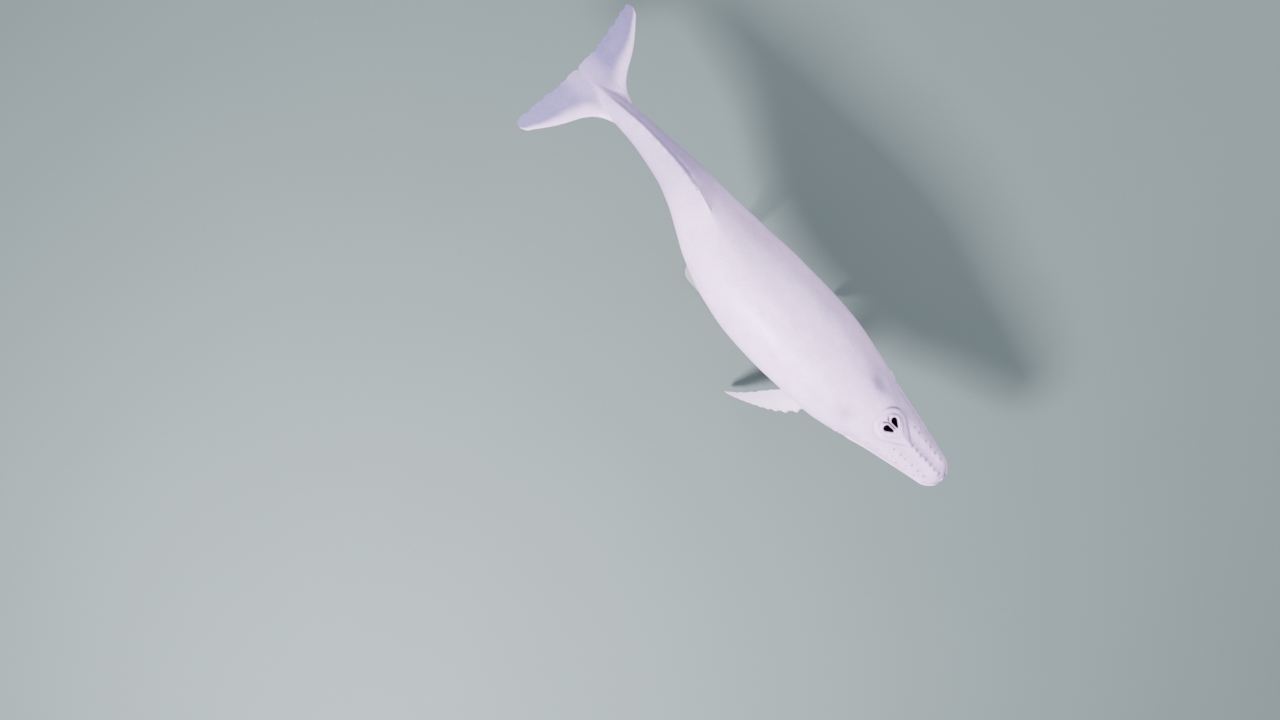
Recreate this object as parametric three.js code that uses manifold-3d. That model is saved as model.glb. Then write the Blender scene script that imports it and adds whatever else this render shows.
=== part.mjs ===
// A young humpback whale, pale all over, as a still life-size model on a plain display stand.
// Millimetres, +Z up. The nose points along +X and the whale's left side is +Y. The origin is the middle
// of the underside of the stand's base. Along the body a place is its share of the length, 0 at the snout
// and 1 at the notch of the flukes. Round the body it is an angle, 0 on the left side, 90 on the back and
// -90 on the belly.

import * as THREE from 'three';
import { LoftGeometry } from 'three/addons/geometries/LoftGeometry.js';
import { mergeVertices } from 'three/addons/utils/BufferGeometryUtils.js';
import Module from 'manifold-3d';

const wasm = await Module();
wasm.setup();

// Driving dimensions
const bodyLength = 4800;            // snout to fluke notch, along the back
const axisHeight = 1250;            // the body's long axis over the floor
const standShare = 0.415;           // the place along the body that is over the middle of the base
const touchGap = 0.3;               // left between neighbouring solids

// The body's outline, as shares of its length: half width, then the height over the axis of the back, of
// the widest line, which is the mouth line as far as the corner of the mouth, and of the belly. Crest and
// keel are 1 where the back and belly are round and more where they narrow to a ridge.
const outline = [
  { at: 0.000, halfWidth: 0.0275, back: 0.0090, side: -0.0060, belly: -0.0275, crest: 1.00, keel: 1.00 },
  { at: 0.030, halfWidth: 0.0327, back: 0.0160, side: -0.0030, belly: -0.0350, crest: 1.00, keel: 1.00 },
  { at: 0.055, halfWidth: 0.0377, back: 0.0225, side: 0.0005, belly: -0.0430, crest: 1.00, keel: 1.00 },
  { at: 0.100, halfWidth: 0.0478, back: 0.0345, side: 0.0065, belly: -0.0560, crest: 1.00, keel: 1.00 },
  { at: 0.142, halfWidth: 0.0570, back: 0.0450, side: 0.0040, belly: -0.0655, crest: 1.00, keel: 1.00 },
  { at: 0.180, halfWidth: 0.0675, back: 0.0530, side: -0.0110, belly: -0.0735, crest: 1.00, keel: 1.00 },
  { at: 0.220, halfWidth: 0.0785, back: 0.0615, side: -0.0190, belly: -0.0810, crest: 1.00, keel: 1.00 },
  { at: 0.270, halfWidth: 0.0880, back: 0.0710, side: -0.0150, belly: -0.0875, crest: 1.00, keel: 1.00 },
  { at: 0.330, halfWidth: 0.0940, back: 0.0795, side: -0.0080, belly: -0.0920, crest: 1.00, keel: 1.00 },
  { at: 0.400, halfWidth: 0.0967, back: 0.0855, side: -0.0030, belly: -0.0945, crest: 1.02, keel: 1.00 },
  { at: 0.470, halfWidth: 0.0948, back: 0.0870, side: 0.0030, belly: -0.0915, crest: 1.07, keel: 1.00 },
  { at: 0.530, halfWidth: 0.0880, back: 0.0850, side: 0.0080, belly: -0.0845, crest: 1.16, keel: 1.03 },
  { at: 0.600, halfWidth: 0.0745, back: 0.0805, side: 0.0130, belly: -0.0715, crest: 1.32, keel: 1.12 },
  { at: 0.645, halfWidth: 0.0622, back: 0.0765, side: 0.0155, belly: -0.0610, crest: 1.45, keel: 1.20 },
  { at: 0.690, halfWidth: 0.0500, back: 0.0695, side: 0.0170, belly: -0.0505, crest: 1.56, keel: 1.28 },
  { at: 0.745, halfWidth: 0.0385, back: 0.0610, side: 0.0170, belly: -0.0385, crest: 1.66, keel: 1.38 },
  { at: 0.800, halfWidth: 0.0302, back: 0.0530, side: 0.0155, belly: -0.0290, crest: 1.72, keel: 1.46 },
  { at: 0.860, halfWidth: 0.0242, back: 0.0445, side: 0.0140, belly: -0.0195, crest: 1.72, keel: 1.50 },
  { at: 0.900, halfWidth: 0.0215, back: 0.0345, side: 0.0130, belly: -0.0115, crest: 1.62, keel: 1.45 },
  { at: 0.930, halfWidth: 0.0175, back: 0.0240, side: 0.0125, belly: -0.0030, crest: 1.50, keel: 1.40 },
  { at: 0.960, halfWidth: 0.0120, back: 0.0172, side: 0.0120, belly: 0.0040, crest: 1.40, keel: 1.30 },
  { at: 0.990, halfWidth: 0.0060, back: 0.0140, side: 0.0120, belly: 0.0085, crest: 1.30, keel: 1.20 },
];

// The pose: how far the body's middle lies to the left of a straight line, as a share of the length, and
// how far the body rolls to the left, in degrees. The head is straight, up to the third row.
const pose = [
  { at: 0.00, left: 0.0020, roll: 0 },
  { at: 0.24, left: -0.01288, roll: 0 },
  { at: 0.26, left: -0.01412, roll: 0 },
  { at: 0.33, left: -0.0150, roll: 0 },
  { at: 0.40, left: -0.0185, roll: 0 },
  { at: 0.47, left: -0.0210, roll: 0 },
  { at: 0.53, left: -0.0200, roll: 1 },
  { at: 0.60, left: -0.0130, roll: 2 },
  { at: 0.65, left: -0.0045, roll: 3.5 },
  { at: 0.70, left: 0.0040, roll: 5 },
  { at: 0.75, left: 0.0090, roll: 6.5 },
  { at: 0.82, left: 0.0098, roll: 7.5 },
  { at: 0.88, left: 0.0065, roll: 6.5 },
  { at: 0.94, left: 0.0020, roll: 5 },
  { at: 1.00, left: 0.0000, roll: 4 },
];

// Where the body is divided
const neckAt = 0.235;
const chestEndAt = 0.400;
const bellyEndAt = 0.555;
const loinEndAt = 0.695;
const tailStockEndAt = 0.872;
const keelEndAt = 0.986;

// Head
const snoutReach = 0.028;           // the rounded end of the snout
const upperJawBack = 0.0035;        // the lower jaw reaches this much further than the upper
const headSteps = 16;
const upperJawInset = 0.085;        // how much narrower the upper jaw is than the lower, where it is most
const mouthCornerAt = 0.186;
const cheekAt = { from: 0.160, to: 0.205 };           // where the upper jaw widens into the cheeks
const jawInsetGrownAt = 0.09;
const lipRound = 9;
const lipClosingShare = 0.012;      // the length over which the lips close at the corner of the mouth
const backSquareness = { least: 0.80, from: 0.03, to: 0.30 };
const bellySquareness = { least: 0.88, from: 0.20, to: 0.55 };
const rostrumRidge = {
  height: 10,
  halfWidth: 26,
  startsAt: 0.008,
  fullAt: 0.03,
  fadesAt: 0.100,
  endsAt: 0.122,
};
const blowholeAt = 0.147;
const blowholeLength = 90;
const blowholeWidth = 50;
const blowholeDepth = 74;
const blowholeSpread = 44;          // the middle of each blowhole from the midline
const blowholeSplay = 22;           // degrees, the two open out towards the tail
const septumWidth = 12;
const septumDepth = 24;
const guardFront = { height: 24, at: 0.1325, reach: 0.0085, halfWidth: 62 };
const guardSides = { height: 18, at: 0.147, reach: 0.016, out: 84, halfWidth: 30 };
const foldRadius = 9;               // the folds that run round the blowholes and meet in front of them
const outerFold = [
  { at: 0.094, across: 0.04 },
  { at: 0.115, across: 0.26 },
  { at: 0.141, across: 0.42 },
  { at: 0.165, across: 0.40 },
];
const innerFold = [
  { at: 0.110, across: 0.04 },
  { at: 0.125, across: 0.18 },
  { at: 0.144, across: 0.31 },
  { at: 0.160, across: 0.30 },
];
const foldSections = 8;
const nape = { height: -19, at: 0.210, reach: 0.019, out: 217, halfWidth: 66 };   // hollows behind the head
const eyeAt = 0.199;
const eyeAngle = 10;
const eyeRadius = 28;
const eyeSunk = 21;
const lidLength = 41;
const lidHeight = 24;
const lidThickness = 8;
const lidOut = 1.2;

// Tubercles, in rows that run back from a first place: how many, how far apart, and how far from the midline
const tubercleRadius = 16;
const tubercleSunk = 0.12;          // of its width
const middleTubercles = { count: 7, firstAt: 0.0175, step: 0.0125 };
const sideTubercles = { count: 6, firstAt: 0.034, step: 0.0155, across: 0.66, closingIn: 0.015 };
const edgeTubercles = { count: 6, firstAt: 0.027, step: 0.0205, across: 0.925 };
const lipTubercles = { count: 6, firstAt: 0.030, step: 0.0215, angles: [-15, -165] };
const chinTubercles = { at: 0.012, angles: [-40, -90, -140] };

// Throat pleats
const pleatCount = 14;
const pleatFirstAngle = -20;
const pleatLastAngle = -160;
const pleatDepth = 11;
const grooveShare = 0.10;           // of a pleat's width, on each side of its groove
const pleatsStartAt = 0.012;
const pleatsEndAt = 0.545;
const outerPleatsShorter = 0.13;
const pleatFade = 0.05;

// Back
const knuckleCount = 8;
const knuckleFirstAt = 0.700;
const knuckleStep = 0.0225;
const knuckle = { height: 9, reach: 0.0065, halfWidth: 26 };
const hump = { height: 16, at: 0.655, reach: 0.030, halfWidth: 60 };
const finFrontAt = 0.625;
const finBackAt = 0.692;
const finHeight = 92;
const finThickness = 44;
const finRaised = 20;               // its foot over the plain ridge
const finTipThinner = 0.78;
const finRake = 0.92;
const finHook = 0.006;

// Flukes, each from the midline out: the places along the body of its front and rear edges, and its
// thickness. The tail turns a little to the right there, and each tip bends back by its own share.
const flukeHalfSpan = { left: 0.1550, right: 0.1490 };
const flukeFrameAt = 0.95;
const flukeYaw = 2.2;               // degrees
const flukeForward = 0.0016;
const flukeDroop = 34;
const flukeRagged = 0.0008;
const flukeTipBack = { left: 0.0180, right: 0.0070 };
const flukeOutline = [
  { at: 0.00, front: 0.8800, back: 0.9975, thick: 66 },
  { at: 0.05, front: 0.8790, back: 1.0050, thick: 66 },
  { at: 0.16, front: 0.8850, back: 1.0060, thick: 62 },
  { at: 0.22, front: 0.9060, back: 1.0050, thick: 54 },
  { at: 0.30, front: 0.9225, back: 1.0045, thick: 45 },
  { at: 0.42, front: 0.9360, back: 1.0065, thick: 36 },
  { at: 0.56, front: 0.9465, back: 1.0090, thick: 29 },
  { at: 0.70, front: 0.9580, back: 1.0095, thick: 23 },
  { at: 0.82, front: 0.9695, back: 1.0100, thick: 18 },
  { at: 0.91, front: 0.9785, back: 1.0100, thick: 15 },
  { at: 0.97, front: 0.9838, back: 1.0090, thick: 12 },
  { at: 1.00, front: 0.9895, back: 1.0060, thick: 8 },
];
const flukePlaces = [
  0, 0.05, 0.16, 0.20, 0.25, 0.31, 0.38, 0.46, 0.54, 0.62, 0.70, 0.77, 0.84, 0.90, 0.95, 0.985, 1,
];

// Flippers: where they leave the body and where their tips hang, and their chord and thickness
const flipperRootAt = 0.280;
const flipperRootOut = 0.0795;
const flipperRootDown = 0.0330;
const flipperBack = 0.0885;
const flipperDrop = 0.206;
const flipperOut = { left: 0.030, right: 0.085 };
const flipperBend = { back: 0.30, out: 0.62, drop: 0.46 };      // where the spine curves most
const flipperTwist = 24;
const flipperFrontShare = 0.42;     // of the chord, ahead of the spine
const flipperOutline = [
  { at: -0.12, chord: 0.0460, thick: 62 },
  { at: 0.00, chord: 0.0460, thick: 62 },
  { at: 0.14, chord: 0.0520, thick: 58 },
  { at: 0.30, chord: 0.0550, thick: 50 },
  { at: 0.50, chord: 0.0490, thick: 40 },
  { at: 0.68, chord: 0.0400, thick: 31 },
  { at: 0.84, chord: 0.0295, thick: 23 },
  { at: 0.94, chord: 0.0200, thick: 17 },
  { at: 1.00, chord: 0.0060, thick: 8 },
];
const knobHeight = 0.0046;
const knobReach = 0.022;
const knobFading = 0.06;
const knobPlaces = [0.12, 0.28, 0.41, 0.51, 0.60, 0.69, 0.77, 0.84, 0.91];

// Display stand
const baseLength = 1900;
const baseWidth = 640;
const baseThickness = 40;
const baseCorner = 120;
const baseBevel = 5;
const rodSides = 16;
const rodRadius = 32;
const rodFootRadius = 95;
const rodFootHeight = 14;
const rodFootEdge = 4;
const rodFillet = 8;
const rodPlaces = { front: 0.290, rear: 0.575 };

const radians = THREE.MathUtils.degToRad;
const { clamp, lerp, smoothstep } = THREE.MathUtils;

/** A smooth curve through rows of { at, key } that never overshoots them. */
function smoothThrough(rows, key) {
  const n = rows.length;
  const slopes = rows.slice(1).map((row, i) => (row[key] - rows[i][key]) / (row.at - rows[i].at));
  const tangents = rows.map((row, i) => {
    if (i === 0) return slopes[0];
    if (i === n - 1) return slopes[n - 2];
    const [before, after] = [slopes[i - 1], slopes[i]];
    return before * after <= 0 ? 0 : 2 * before * after / (before + after);
  });
  return (at) => {
    const place = clamp(at, rows[0].at, rows[n - 1].at);
    let i = 0;
    while (i < n - 2 && place > rows[i + 1].at) i += 1;
    const span = rows[i + 1].at - rows[i].at;
    const t = (place - rows[i].at) / span;
    const t2 = t * t;
    const t3 = t2 * t;
    return (2 * t3 - 3 * t2 + 1) * rows[i][key] + (t3 - 2 * t2 + t) * span * tangents[i]
      + (3 * t2 - 2 * t3) * rows[i + 1][key] + (t3 - t2) * span * tangents[i + 1];
  };
}

const halfWidthAt = smoothThrough(outline, 'halfWidth');
const backAt = smoothThrough(outline, 'back');
const sideAt = smoothThrough(outline, 'side');
const bellyAt = smoothThrough(outline, 'belly');
const crestAt = smoothThrough(outline, 'crest');
const keelAt = smoothThrough(outline, 'keel');
const leftAt = smoothThrough(pose, 'left');
const rollAt = smoothThrough(pose, 'roll');

/** A rounded bump, 1 at its middle. */
const bump = (value, middle, reach) => Math.exp(-(((value - middle) / reach) ** 2));

/** 0 at the very snout, 1 where its rounded end has reached the full section. */
function snoutRound(at, start = 0) {
  const t = clamp((at - start) / snoutReach, 0, 1);
  return Math.sqrt(1 - (1 - t) ** 2);
}

/** The section's own place in the row frame: its origin on the axis, and its left and up directions. */
function frameAt(at) {
  const step = 0.004;
  const slope = (leftAt(at + step) - leftAt(at - step)) / (2 * step);
  const heading = new THREE.Vector3(1, -slope, 0).normalize();
  const roll = radians(rollAt(at));
  const flatLeft = new THREE.Vector3(-heading.y, heading.x, 0);
  const left = flatLeft.clone().multiplyScalar(Math.cos(roll)).add(new THREE.Vector3(0, 0, -Math.sin(roll)));
  const up = flatLeft.multiplyScalar(Math.sin(roll)).add(new THREE.Vector3(0, 0, Math.cos(roll)));
  const middle = (backAt(at) + bellyAt(at)) / 2 * bodyLength;
  const aheadOfStand = (standShare - at) * bodyLength;
  const leftOfStand = (leftAt(at) - leftAt(standShare)) * bodyLength;
  const centre = new THREE.Vector3(aheadOfStand, leftOfStand, axisHeight + middle);
  centre.addScaledVector(up, -middle);
  return { centre, heading, left, up };
}

/** A point given in a section: y to the whale's left and z over the axis. */
function inSection(at, y, z) {
  const { centre, left, up } = frameAt(at);
  return centre.addScaledVector(left, y).addScaledVector(up, z);
}

/** How high a rounded form stands at a place along the body and a distance from the form's middle line. */
const rounded = (form, at, y, middle) => (
  form.height * bump(at, form.at, form.reach) * bump(y, middle, form.halfWidth));

/** How far the skin stands out from the plain section: ridges, knuckles, hollows and the blowhole guard. */
function relief(at, y) {
  const wide = Math.abs(y);
  const rostrum = smoothstep(at, rostrumRidge.startsAt, rostrumRidge.fullAt)
    * (1 - smoothstep(at, rostrumRidge.fadesAt, rostrumRidge.endsAt));
  let out = rostrumRidge.height * rostrum * bump(y, 0, rostrumRidge.halfWidth);
  out += rounded(guardFront, at, y, 0);
  out += rounded(guardSides, at, wide, guardSides.out);
  out += rounded(nape, at, wide, nape.out);
  out += rounded(hump, at, y, 0);
  for (let i = 0; i < knuckleCount; i += 1) {
    out += rounded({ ...knuckle, at: knuckleFirstAt + i * knuckleStep }, at, y, 0);
  }
  return out;
}

/** How deep the throat's grooves are there, from 0 to 1. */
function pleatShare(at, angle) {
  const outward = (2 * angle - pleatFirstAngle - pleatLastAngle) / (pleatLastAngle - pleatFirstAngle);
  const starts = smoothstep(at, pleatsStartAt, pleatFade);
  const ends = pleatsEndAt - outerPleatsShorter * outward ** 2;
  return starts * (1 - smoothstep(at, ends - pleatFade, ends));
}

/** How square a section's quarter is there: 1 is a plain ellipse, and less is fuller. */
const squareness = ({ least, from, to }, at) => lerp(least, 1, smoothstep(at, from, to));

/** A point of the skin; inward sinks it below the surface. */
function skinPoint(at, angle, inward = 0) {
  const turn = radians(angle);
  const onTop = angle >= 0;
  const jaw = onTop ? 1 - smoothstep(at, cheekAt.from, cheekAt.to) : 0;
  const round = snoutRound(at, onTop ? upperJawBack : 0);
  const inset = upperJawInset * jaw * smoothstep(at, 0, jawInsetGrownAt);
  const halfWidth = halfWidthAt(at) * bodyLength * round * (1 - inset);
  const side = sideAt(at) * bodyLength;
  const reach = ((onTop ? backAt(at) : bellyAt(at)) * bodyLength - side) * round;
  const power = onTop ? crestAt(at) : keelAt(at);
  const flat = squareness(onTop ? backSquareness : bellySquareness, at);
  const across = Math.cos(turn);
  const y = Math.sign(across) * Math.abs(across) ** power * halfWidth;
  const z = side + Math.abs(Math.sin(turn)) ** flat * reach;
  const outwardY = across * Math.abs(reach);
  const outwardZ = Math.sin(turn) * halfWidth;
  const length = Math.hypot(outwardY, outwardZ) || 1;
  const out = (onTop ? relief(at, y) : 0) * round - inward;
  return { y: y + out * outwardY / length, z: z + out * outwardZ / length };
}

/** Angles over the back from one side to the other. */
const backAngles = (count) => Array.from({ length: count + 1 }, (_, i) => 180 * i / count);

/** Angles under the belly, with three points to each pleat, and how deep in a groove each lies. */
function bellyAngles() {
  const step = (pleatLastAngle - pleatFirstAngle) / pleatCount;
  const list = [{ angle: -7, groove: 0 }, { angle: -13.5, groove: 0 }];
  for (let i = 0; i < pleatCount; i += 1) {
    const start = pleatFirstAngle + i * step;
    list.push({ angle: start, groove: 1 });
    list.push({ angle: start + grooveShare * step, groove: 0 });
    list.push({ angle: start + (1 - grooveShare) * step, groove: 0 });
  }
  list.push({ angle: pleatLastAngle, groove: 1 }, { angle: -166.5, groove: 0 }, { angle: -173, groove: 0 });
  return list;
}

const pleats = bellyAngles();

const backPoints = (at, count) => backAngles(count).map((angle) => skinPoint(at, angle));
const bellyPoints = (at) => pleats.map(({ angle, groove }) => (
  skinPoint(at, angle, groove * pleatDepth * pleatShare(at, angle))));

/** A ring of points of a section, in the row frame. */
const placed = (at, points) => points.map(({ y, z }) => inSection(at, y, z));

const evenly = (from, to, count) => Array.from({ length: count + 1 }, (_, i) => lerp(from, to, i / count));

/** Stations that crowd towards the rounded snout. */
const snoutStations = (count) => (
  evenly(10, 90, count).map((turn) => snoutReach * (1 - Math.cos(radians(turn)))));

/** A closed mesh as a solid for cutting and joining. */
function solid(geometry) {
  const bare = new THREE.BufferGeometry();
  bare.setAttribute('position', geometry.getAttribute('position'));
  bare.setIndex(geometry.getIndex());
  const merged = mergeVertices(bare, 1e-3);
  return new wasm.Manifold(new wasm.Mesh({
    numProp: 3,
    vertProperties: merged.attributes.position.array,
    triVerts: new Uint32Array(merged.index.array),
  }));
}

/** The middle of a ring of points. */
const ringMiddle = (ring) => (
  ring.reduce((sum, point) => sum.add(point), new THREE.Vector3()).divideScalar(ring.length));

/** Whether a ring turns counterclockwise seen from the next ring, as a loft's rings have to. */
function turnsRight(ring, next) {
  const middle = ringMiddle(ring);
  const normal = new THREE.Vector3();
  ring.forEach((point, i) => {
    const following = ring[(i + 1) % ring.length];
    normal.add(new THREE.Vector3().crossVectors(point.clone().sub(middle), following.clone().sub(middle)));
  });
  return normal.dot(ringMiddle(next).sub(middle)) > 0;
}

/** A closed solid through a row of rings, whichever way the rings turn. */
function loft(rings) {
  const turned = turnsRight(rings[0], rings[1]) ? rings : rings.map((ring) => ring.slice().reverse());
  return solid(new LoftGeometry(turned, { capStart: true, capEnd: true }));
}

/** The largest closed body of a solid. */
function largest(made) {
  return made.decompose().reduce((best, piece) => (piece.volume() > best.volume() ? piece : best));
}

/** A geometry, scaled, turned and put in place, as a solid. */
function placedSolid(geometry, scale, basis, at) {
  const matrix = new THREE.Matrix4().makeBasis(...basis).setPosition(at);
  return solid(geometry.clone().scale(...scale).applyMatrix4(matrix));
}

const materials = {
  skin: new THREE.MeshStandardMaterial({ color: 0xe4dcea, roughness: 0.38, metalness: 0 }),
  belly: new THREE.MeshStandardMaterial({ color: 0xeae3ec, roughness: 0.42, metalness: 0 }),
  fin: new THREE.MeshStandardMaterial({ color: 0xd8cfe2, roughness: 0.4, metalness: 0 }),
  eye: new THREE.MeshStandardMaterial({ color: 0x2a1e24, roughness: 0.08, metalness: 0 }),
  steel: new THREE.MeshStandardMaterial({ color: 0x6f7478, roughness: 0.35, metalness: 0.9 }),
  base: new THREE.MeshStandardMaterial({ color: 0xb4b8bb, roughness: 0.6, metalness: 0 }),
};

const model = new THREE.Group();

/** Adds a solid to the model as a named mesh. */
function addNode(name, made, material) {
  const { vertProperties, triVerts } = made.getMesh();
  const geometry = new THREE.BufferGeometry();
  geometry.setAttribute('position', new THREE.Float32BufferAttribute(vertProperties, 3));
  geometry.setIndex(new THREE.Uint32BufferAttribute(triVerts, 1));
  geometry.computeVertexNormals();
  const mesh = new THREE.Mesh(geometry, materials[material]);
  mesh.name = name;
  model.add(mesh);
}

/** A frame on the skin: a point, the outward normal, and the directions to the nose and across. */
function skinFrame(at, angle) {
  const on = (a, b) => {
    const { y, z } = skinPoint(a, b);
    return inSection(a, y, z);
  };
  const point = on(at, angle);
  const noseward = on(at - 0.003, angle).sub(on(at + 0.003, angle)).normalize();
  const round = on(at, angle + 2).sub(on(at, angle - 2)).normalize();
  const normal = new THREE.Vector3().crossVectors(round, noseward).normalize();
  const across = new THREE.Vector3().crossVectors(normal, noseward);
  return { point, normal, noseward, across };
}

/** The angle at which the upper skin lies a share of the half width to the left of the midline. */
const angleAcross = (share) => Math.acos(clamp(share, -1, 1)) * 180 / Math.PI;

/** One low rounded tubercle on the skin. */
function tubercle(at, angle) {
  const { point, normal, noseward, across } = skinFrame(at, angle);
  const dome = new THREE.SphereGeometry(tubercleRadius, 6, 3);
  const centre = point.addScaledVector(normal, -tubercleSunk * tubercleRadius);
  return placedSolid(dome, [1, 0.85, 0.72], [noseward, across, normal], centre);
}

/** A row of tubercles that runs back along the head, at the angle that angleAt gives each. */
const tubercleRow = ({ count, firstAt, step }, angleAt) => Array.from({ length: count }, (_, i) => (
  tubercle(firstAt + step * i, angleAt(i))));

/** Rows of tubercles: down the rostrum's middle, along each side of it, and along its edges. */
function upperTubercles() {
  const { across, closingIn } = sideTubercles;
  return [
    ...tubercleRow(middleTubercles, () => 90),
    ...[1, -1].flatMap((side) => [
      ...tubercleRow(sideTubercles, (i) => angleAcross(side * (across - closingIn * i))),
      ...tubercleRow(edgeTubercles, () => angleAcross(side * edgeTubercles.across)),
    ]),
  ];
}

/** Tubercles along the lower lip and on the chin. */
function lowerTubercles() {
  return [
    ...lipTubercles.angles.flatMap((angle) => tubercleRow(lipTubercles, () => angle)),
    ...chinTubercles.angles.map((angle) => tubercle(chinTubercles.at, angle)),
  ];
}

/** A fold of skin swept over the surface along a curve through places { at, across }. */
function fold(places, radius) {
  const curve = new THREE.CatmullRomCurve3(places.map(({ at, across }) => new THREE.Vector3(at, across, 0)));
  const sections = evenly(0, 1, foldSections).map((t) => {
    const place = curve.getPoint(t);
    const ahead = curve.getTangent(t);
    const { point, normal, noseward, across } = skinFrame(place.x, angleAcross(place.y));
    const direction = noseward.clone().multiplyScalar(-ahead.x * bodyLength)
      .addScaledVector(across, ahead.y * halfWidthAt(place.x) * bodyLength).normalize();
    const beside = new THREE.Vector3().crossVectors(direction, normal).normalize();
    const thick = radius * (0.25 + 0.75 * Math.sin(Math.PI * t));
    return evenly(0, 4 / 5, 4).map((part) => {
      const turn = 2 * Math.PI * part;
      return point.clone().addScaledVector(beside, 1.5 * thick * Math.cos(turn))
        .addScaledVector(normal, thick * Math.sin(turn) - 0.25 * thick);
    });
  });
  return loft(sections);
}

/** The folds that curve round each blowhole and run together on the ridge in front. */
const guardFolds = () => [1, -1].flatMap((side) => [outerFold, innerFold].map((places) => (
  fold(places.map(({ at, across }) => ({ at, across: side * across })), foldRadius))));

/** The two blowholes and the groove between them, to be cut from the head. */
function blowholes() {
  const made = [];
  const { normal, noseward, across } = skinFrame(blowholeAt, 90);
  const middle = inSection(blowholeAt, 0, skinPoint(blowholeAt, 90).z);
  const pit = new THREE.SphereGeometry(1, 12, 6);
  for (const side of [1, -1]) {
    const splay = radians(blowholeSplay) * side;
    const along = noseward.clone().multiplyScalar(Math.cos(splay)).addScaledVector(across, -Math.sin(splay));
    const beside = new THREE.Vector3().crossVectors(normal, along);
    const at = middle.clone().addScaledVector(across, side * blowholeSpread).addScaledVector(normal, 6);
    const size = [blowholeLength / 2, blowholeWidth / 2, blowholeDepth];
    made.push(placedSolid(pit, size, [along, beside, normal], at));
  }
  const slot = new THREE.SphereGeometry(1, 8, 6);
  const grooveAt = middle.clone().addScaledVector(normal, 4);
  const grooveSize = [blowholeLength / 2, septumWidth / 2, septumDepth];
  made.push(placedSolid(slot, grooveSize, [noseward, across, normal], grooveAt));
  return made;
}

/** The eyeball, and the ring of its lids. */
function eyePieces(angle) {
  const { point, normal, noseward, across } = skinFrame(eyeAt, angle);
  const basis = [noseward, across, normal];
  const centre = point.clone().addScaledVector(normal, -eyeSunk);
  const ball = (radius) => placedSolid(new THREE.SphereGeometry(radius, 14, 9), [1, 1, 1], basis, centre);
  const ring = new THREE.TorusGeometry(1, lidThickness / lidLength, 6, 14);
  const lids = placedSolid(ring, [lidLength, lidHeight, lidLength * lidOut], basis, point);
  return { ball: ball(eyeRadius), socket: ball(eyeRadius + touchGap), lids };
}

/** Head stations from the snout to the neck, the same for both jaws so that they meet all along. */
const headEndAt = neckAt - touchGap / 2 / bodyLength;
const headStations = [...snoutStations(4), ...evenly(snoutReach, headEndAt, headSteps).slice(1)];

const leastLip = 0.6;

/** How far the lips round off there, given how much room the skin leaves. */
function lipAt(at, room) {
  const open = 1 - smoothstep(at, mouthCornerAt - lipClosingShare, mouthCornerAt);
  return leastLip + Math.min(lipRound, 0.6 * room) * open;
}

/** The upper head's core, above the mouth line. */
function upperHeadCore() {
  return loft(headStations.slice(1).map((at) => {
    const points = backPoints(at, 28);
    const floorAt = sideAt(at) * bodyLength + touchGap / 2;
    const lip = lipAt(at, points[1].z - floorAt);
    const rim = points[0].y - lip;
    points[0].z = floorAt + lip;
    points.at(-1).z = floorAt + lip;
    const roof = [-1, -0.5, 0, 0.5, 1].map((share) => ({ y: rim * share, z: floorAt }));
    return placed(at, [...points, ...roof]);
  }));
}

/** The lower jaw's core: chin, lips and the front of the pleated throat, below the mouth line. */
function lowerJawCore() {
  return loft(headStations.map((at) => {
    const points = bellyPoints(at);
    const topAt = sideAt(at) * bodyLength - touchGap / 2;
    const lip = lipAt(at, topAt - points[0].z);
    const widest = skinPoint(at, -0.001).y;
    const lips = [widest, -widest].map((y) => ({ y, z: topAt - lip }));
    const floor = [-1, -0.5, 0, 0.5, 1].map((share) => ({ y: (widest - lip) * share, z: topAt }));
    return placed(at, [lips[0], ...points, lips[1], ...floor]);
  }));
}

/** A length of the pleated trunk, through evenly spaced sections; grow makes it larger all round. */
function pleatedTrunk(from, to, count, grow = 0) {
  const trim = touchGap / 2 / bodyLength;
  return loft(evenly(from + trim, to - trim, count).map((at) => {
    const above = backAngles(24).map((angle) => skinPoint(at, angle, -grow));
    const below = pleats.map(({ angle, groove }) => (
      skinPoint(at, angle, groove * pleatDepth * pleatShare(at, angle) - grow)));
    return placed(at, [...above, ...below.reverse()]);
  }));
}

/** A length of the smooth rear body, through sections at the places given; grow makes it larger all round. */
function smoothTrunk(places, grow = 0) {
  const trim = touchGap / 2 / bodyLength;
  return loft([places[0] + trim, ...places.slice(1, -1), places.at(-1) - trim].map((at) => {
    const above = backAngles(14).map((angle) => skinPoint(at, angle, -grow));
    const below = evenly(-180, 0, 12).slice(1, -1).map((angle) => skinPoint(at, angle, -grow));
    return placed(at, [...above, ...below]);
  }));
}

/** Half the thickness of a fin's section, as a share of the whole, at a share of its chord. */
function finProfile(x) {
  const front = 0.2969 * Math.sqrt(x);
  return 5 * (front - 0.126 * x - 0.3516 * x ** 2 + 0.2843 * x ** 3 - 0.0936 * x ** 4);
}

const finChordShares = [1, 0.82, 0.58, 0.34, 0.14, 0.035];

/** A fin's ring of points from its front edge, with directions to the rear edge and through the fin. */
function finRing(front, rearward, through, chord, thick) {
  const on = (x, side) => front.clone().addScaledVector(rearward, x * chord)
    .addScaledVector(through, side * finProfile(x) * thick);
  const over = finChordShares.map((x) => on(x, 1));
  const under = finChordShares.map((x) => on(x, -1));
  return [...over, on(0, 0), ...under.reverse()];
}

/** The flukes' own frame: the tail's, turned a little. */
function flukeFrame() {
  const { centre, heading, left, up } = frameAt(flukeFrameAt);
  heading.applyAxisAngle(up, radians(flukeYaw));
  left.applyAxisAngle(up, radians(flukeYaw));
  return { centre, heading, left, up };
}

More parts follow.
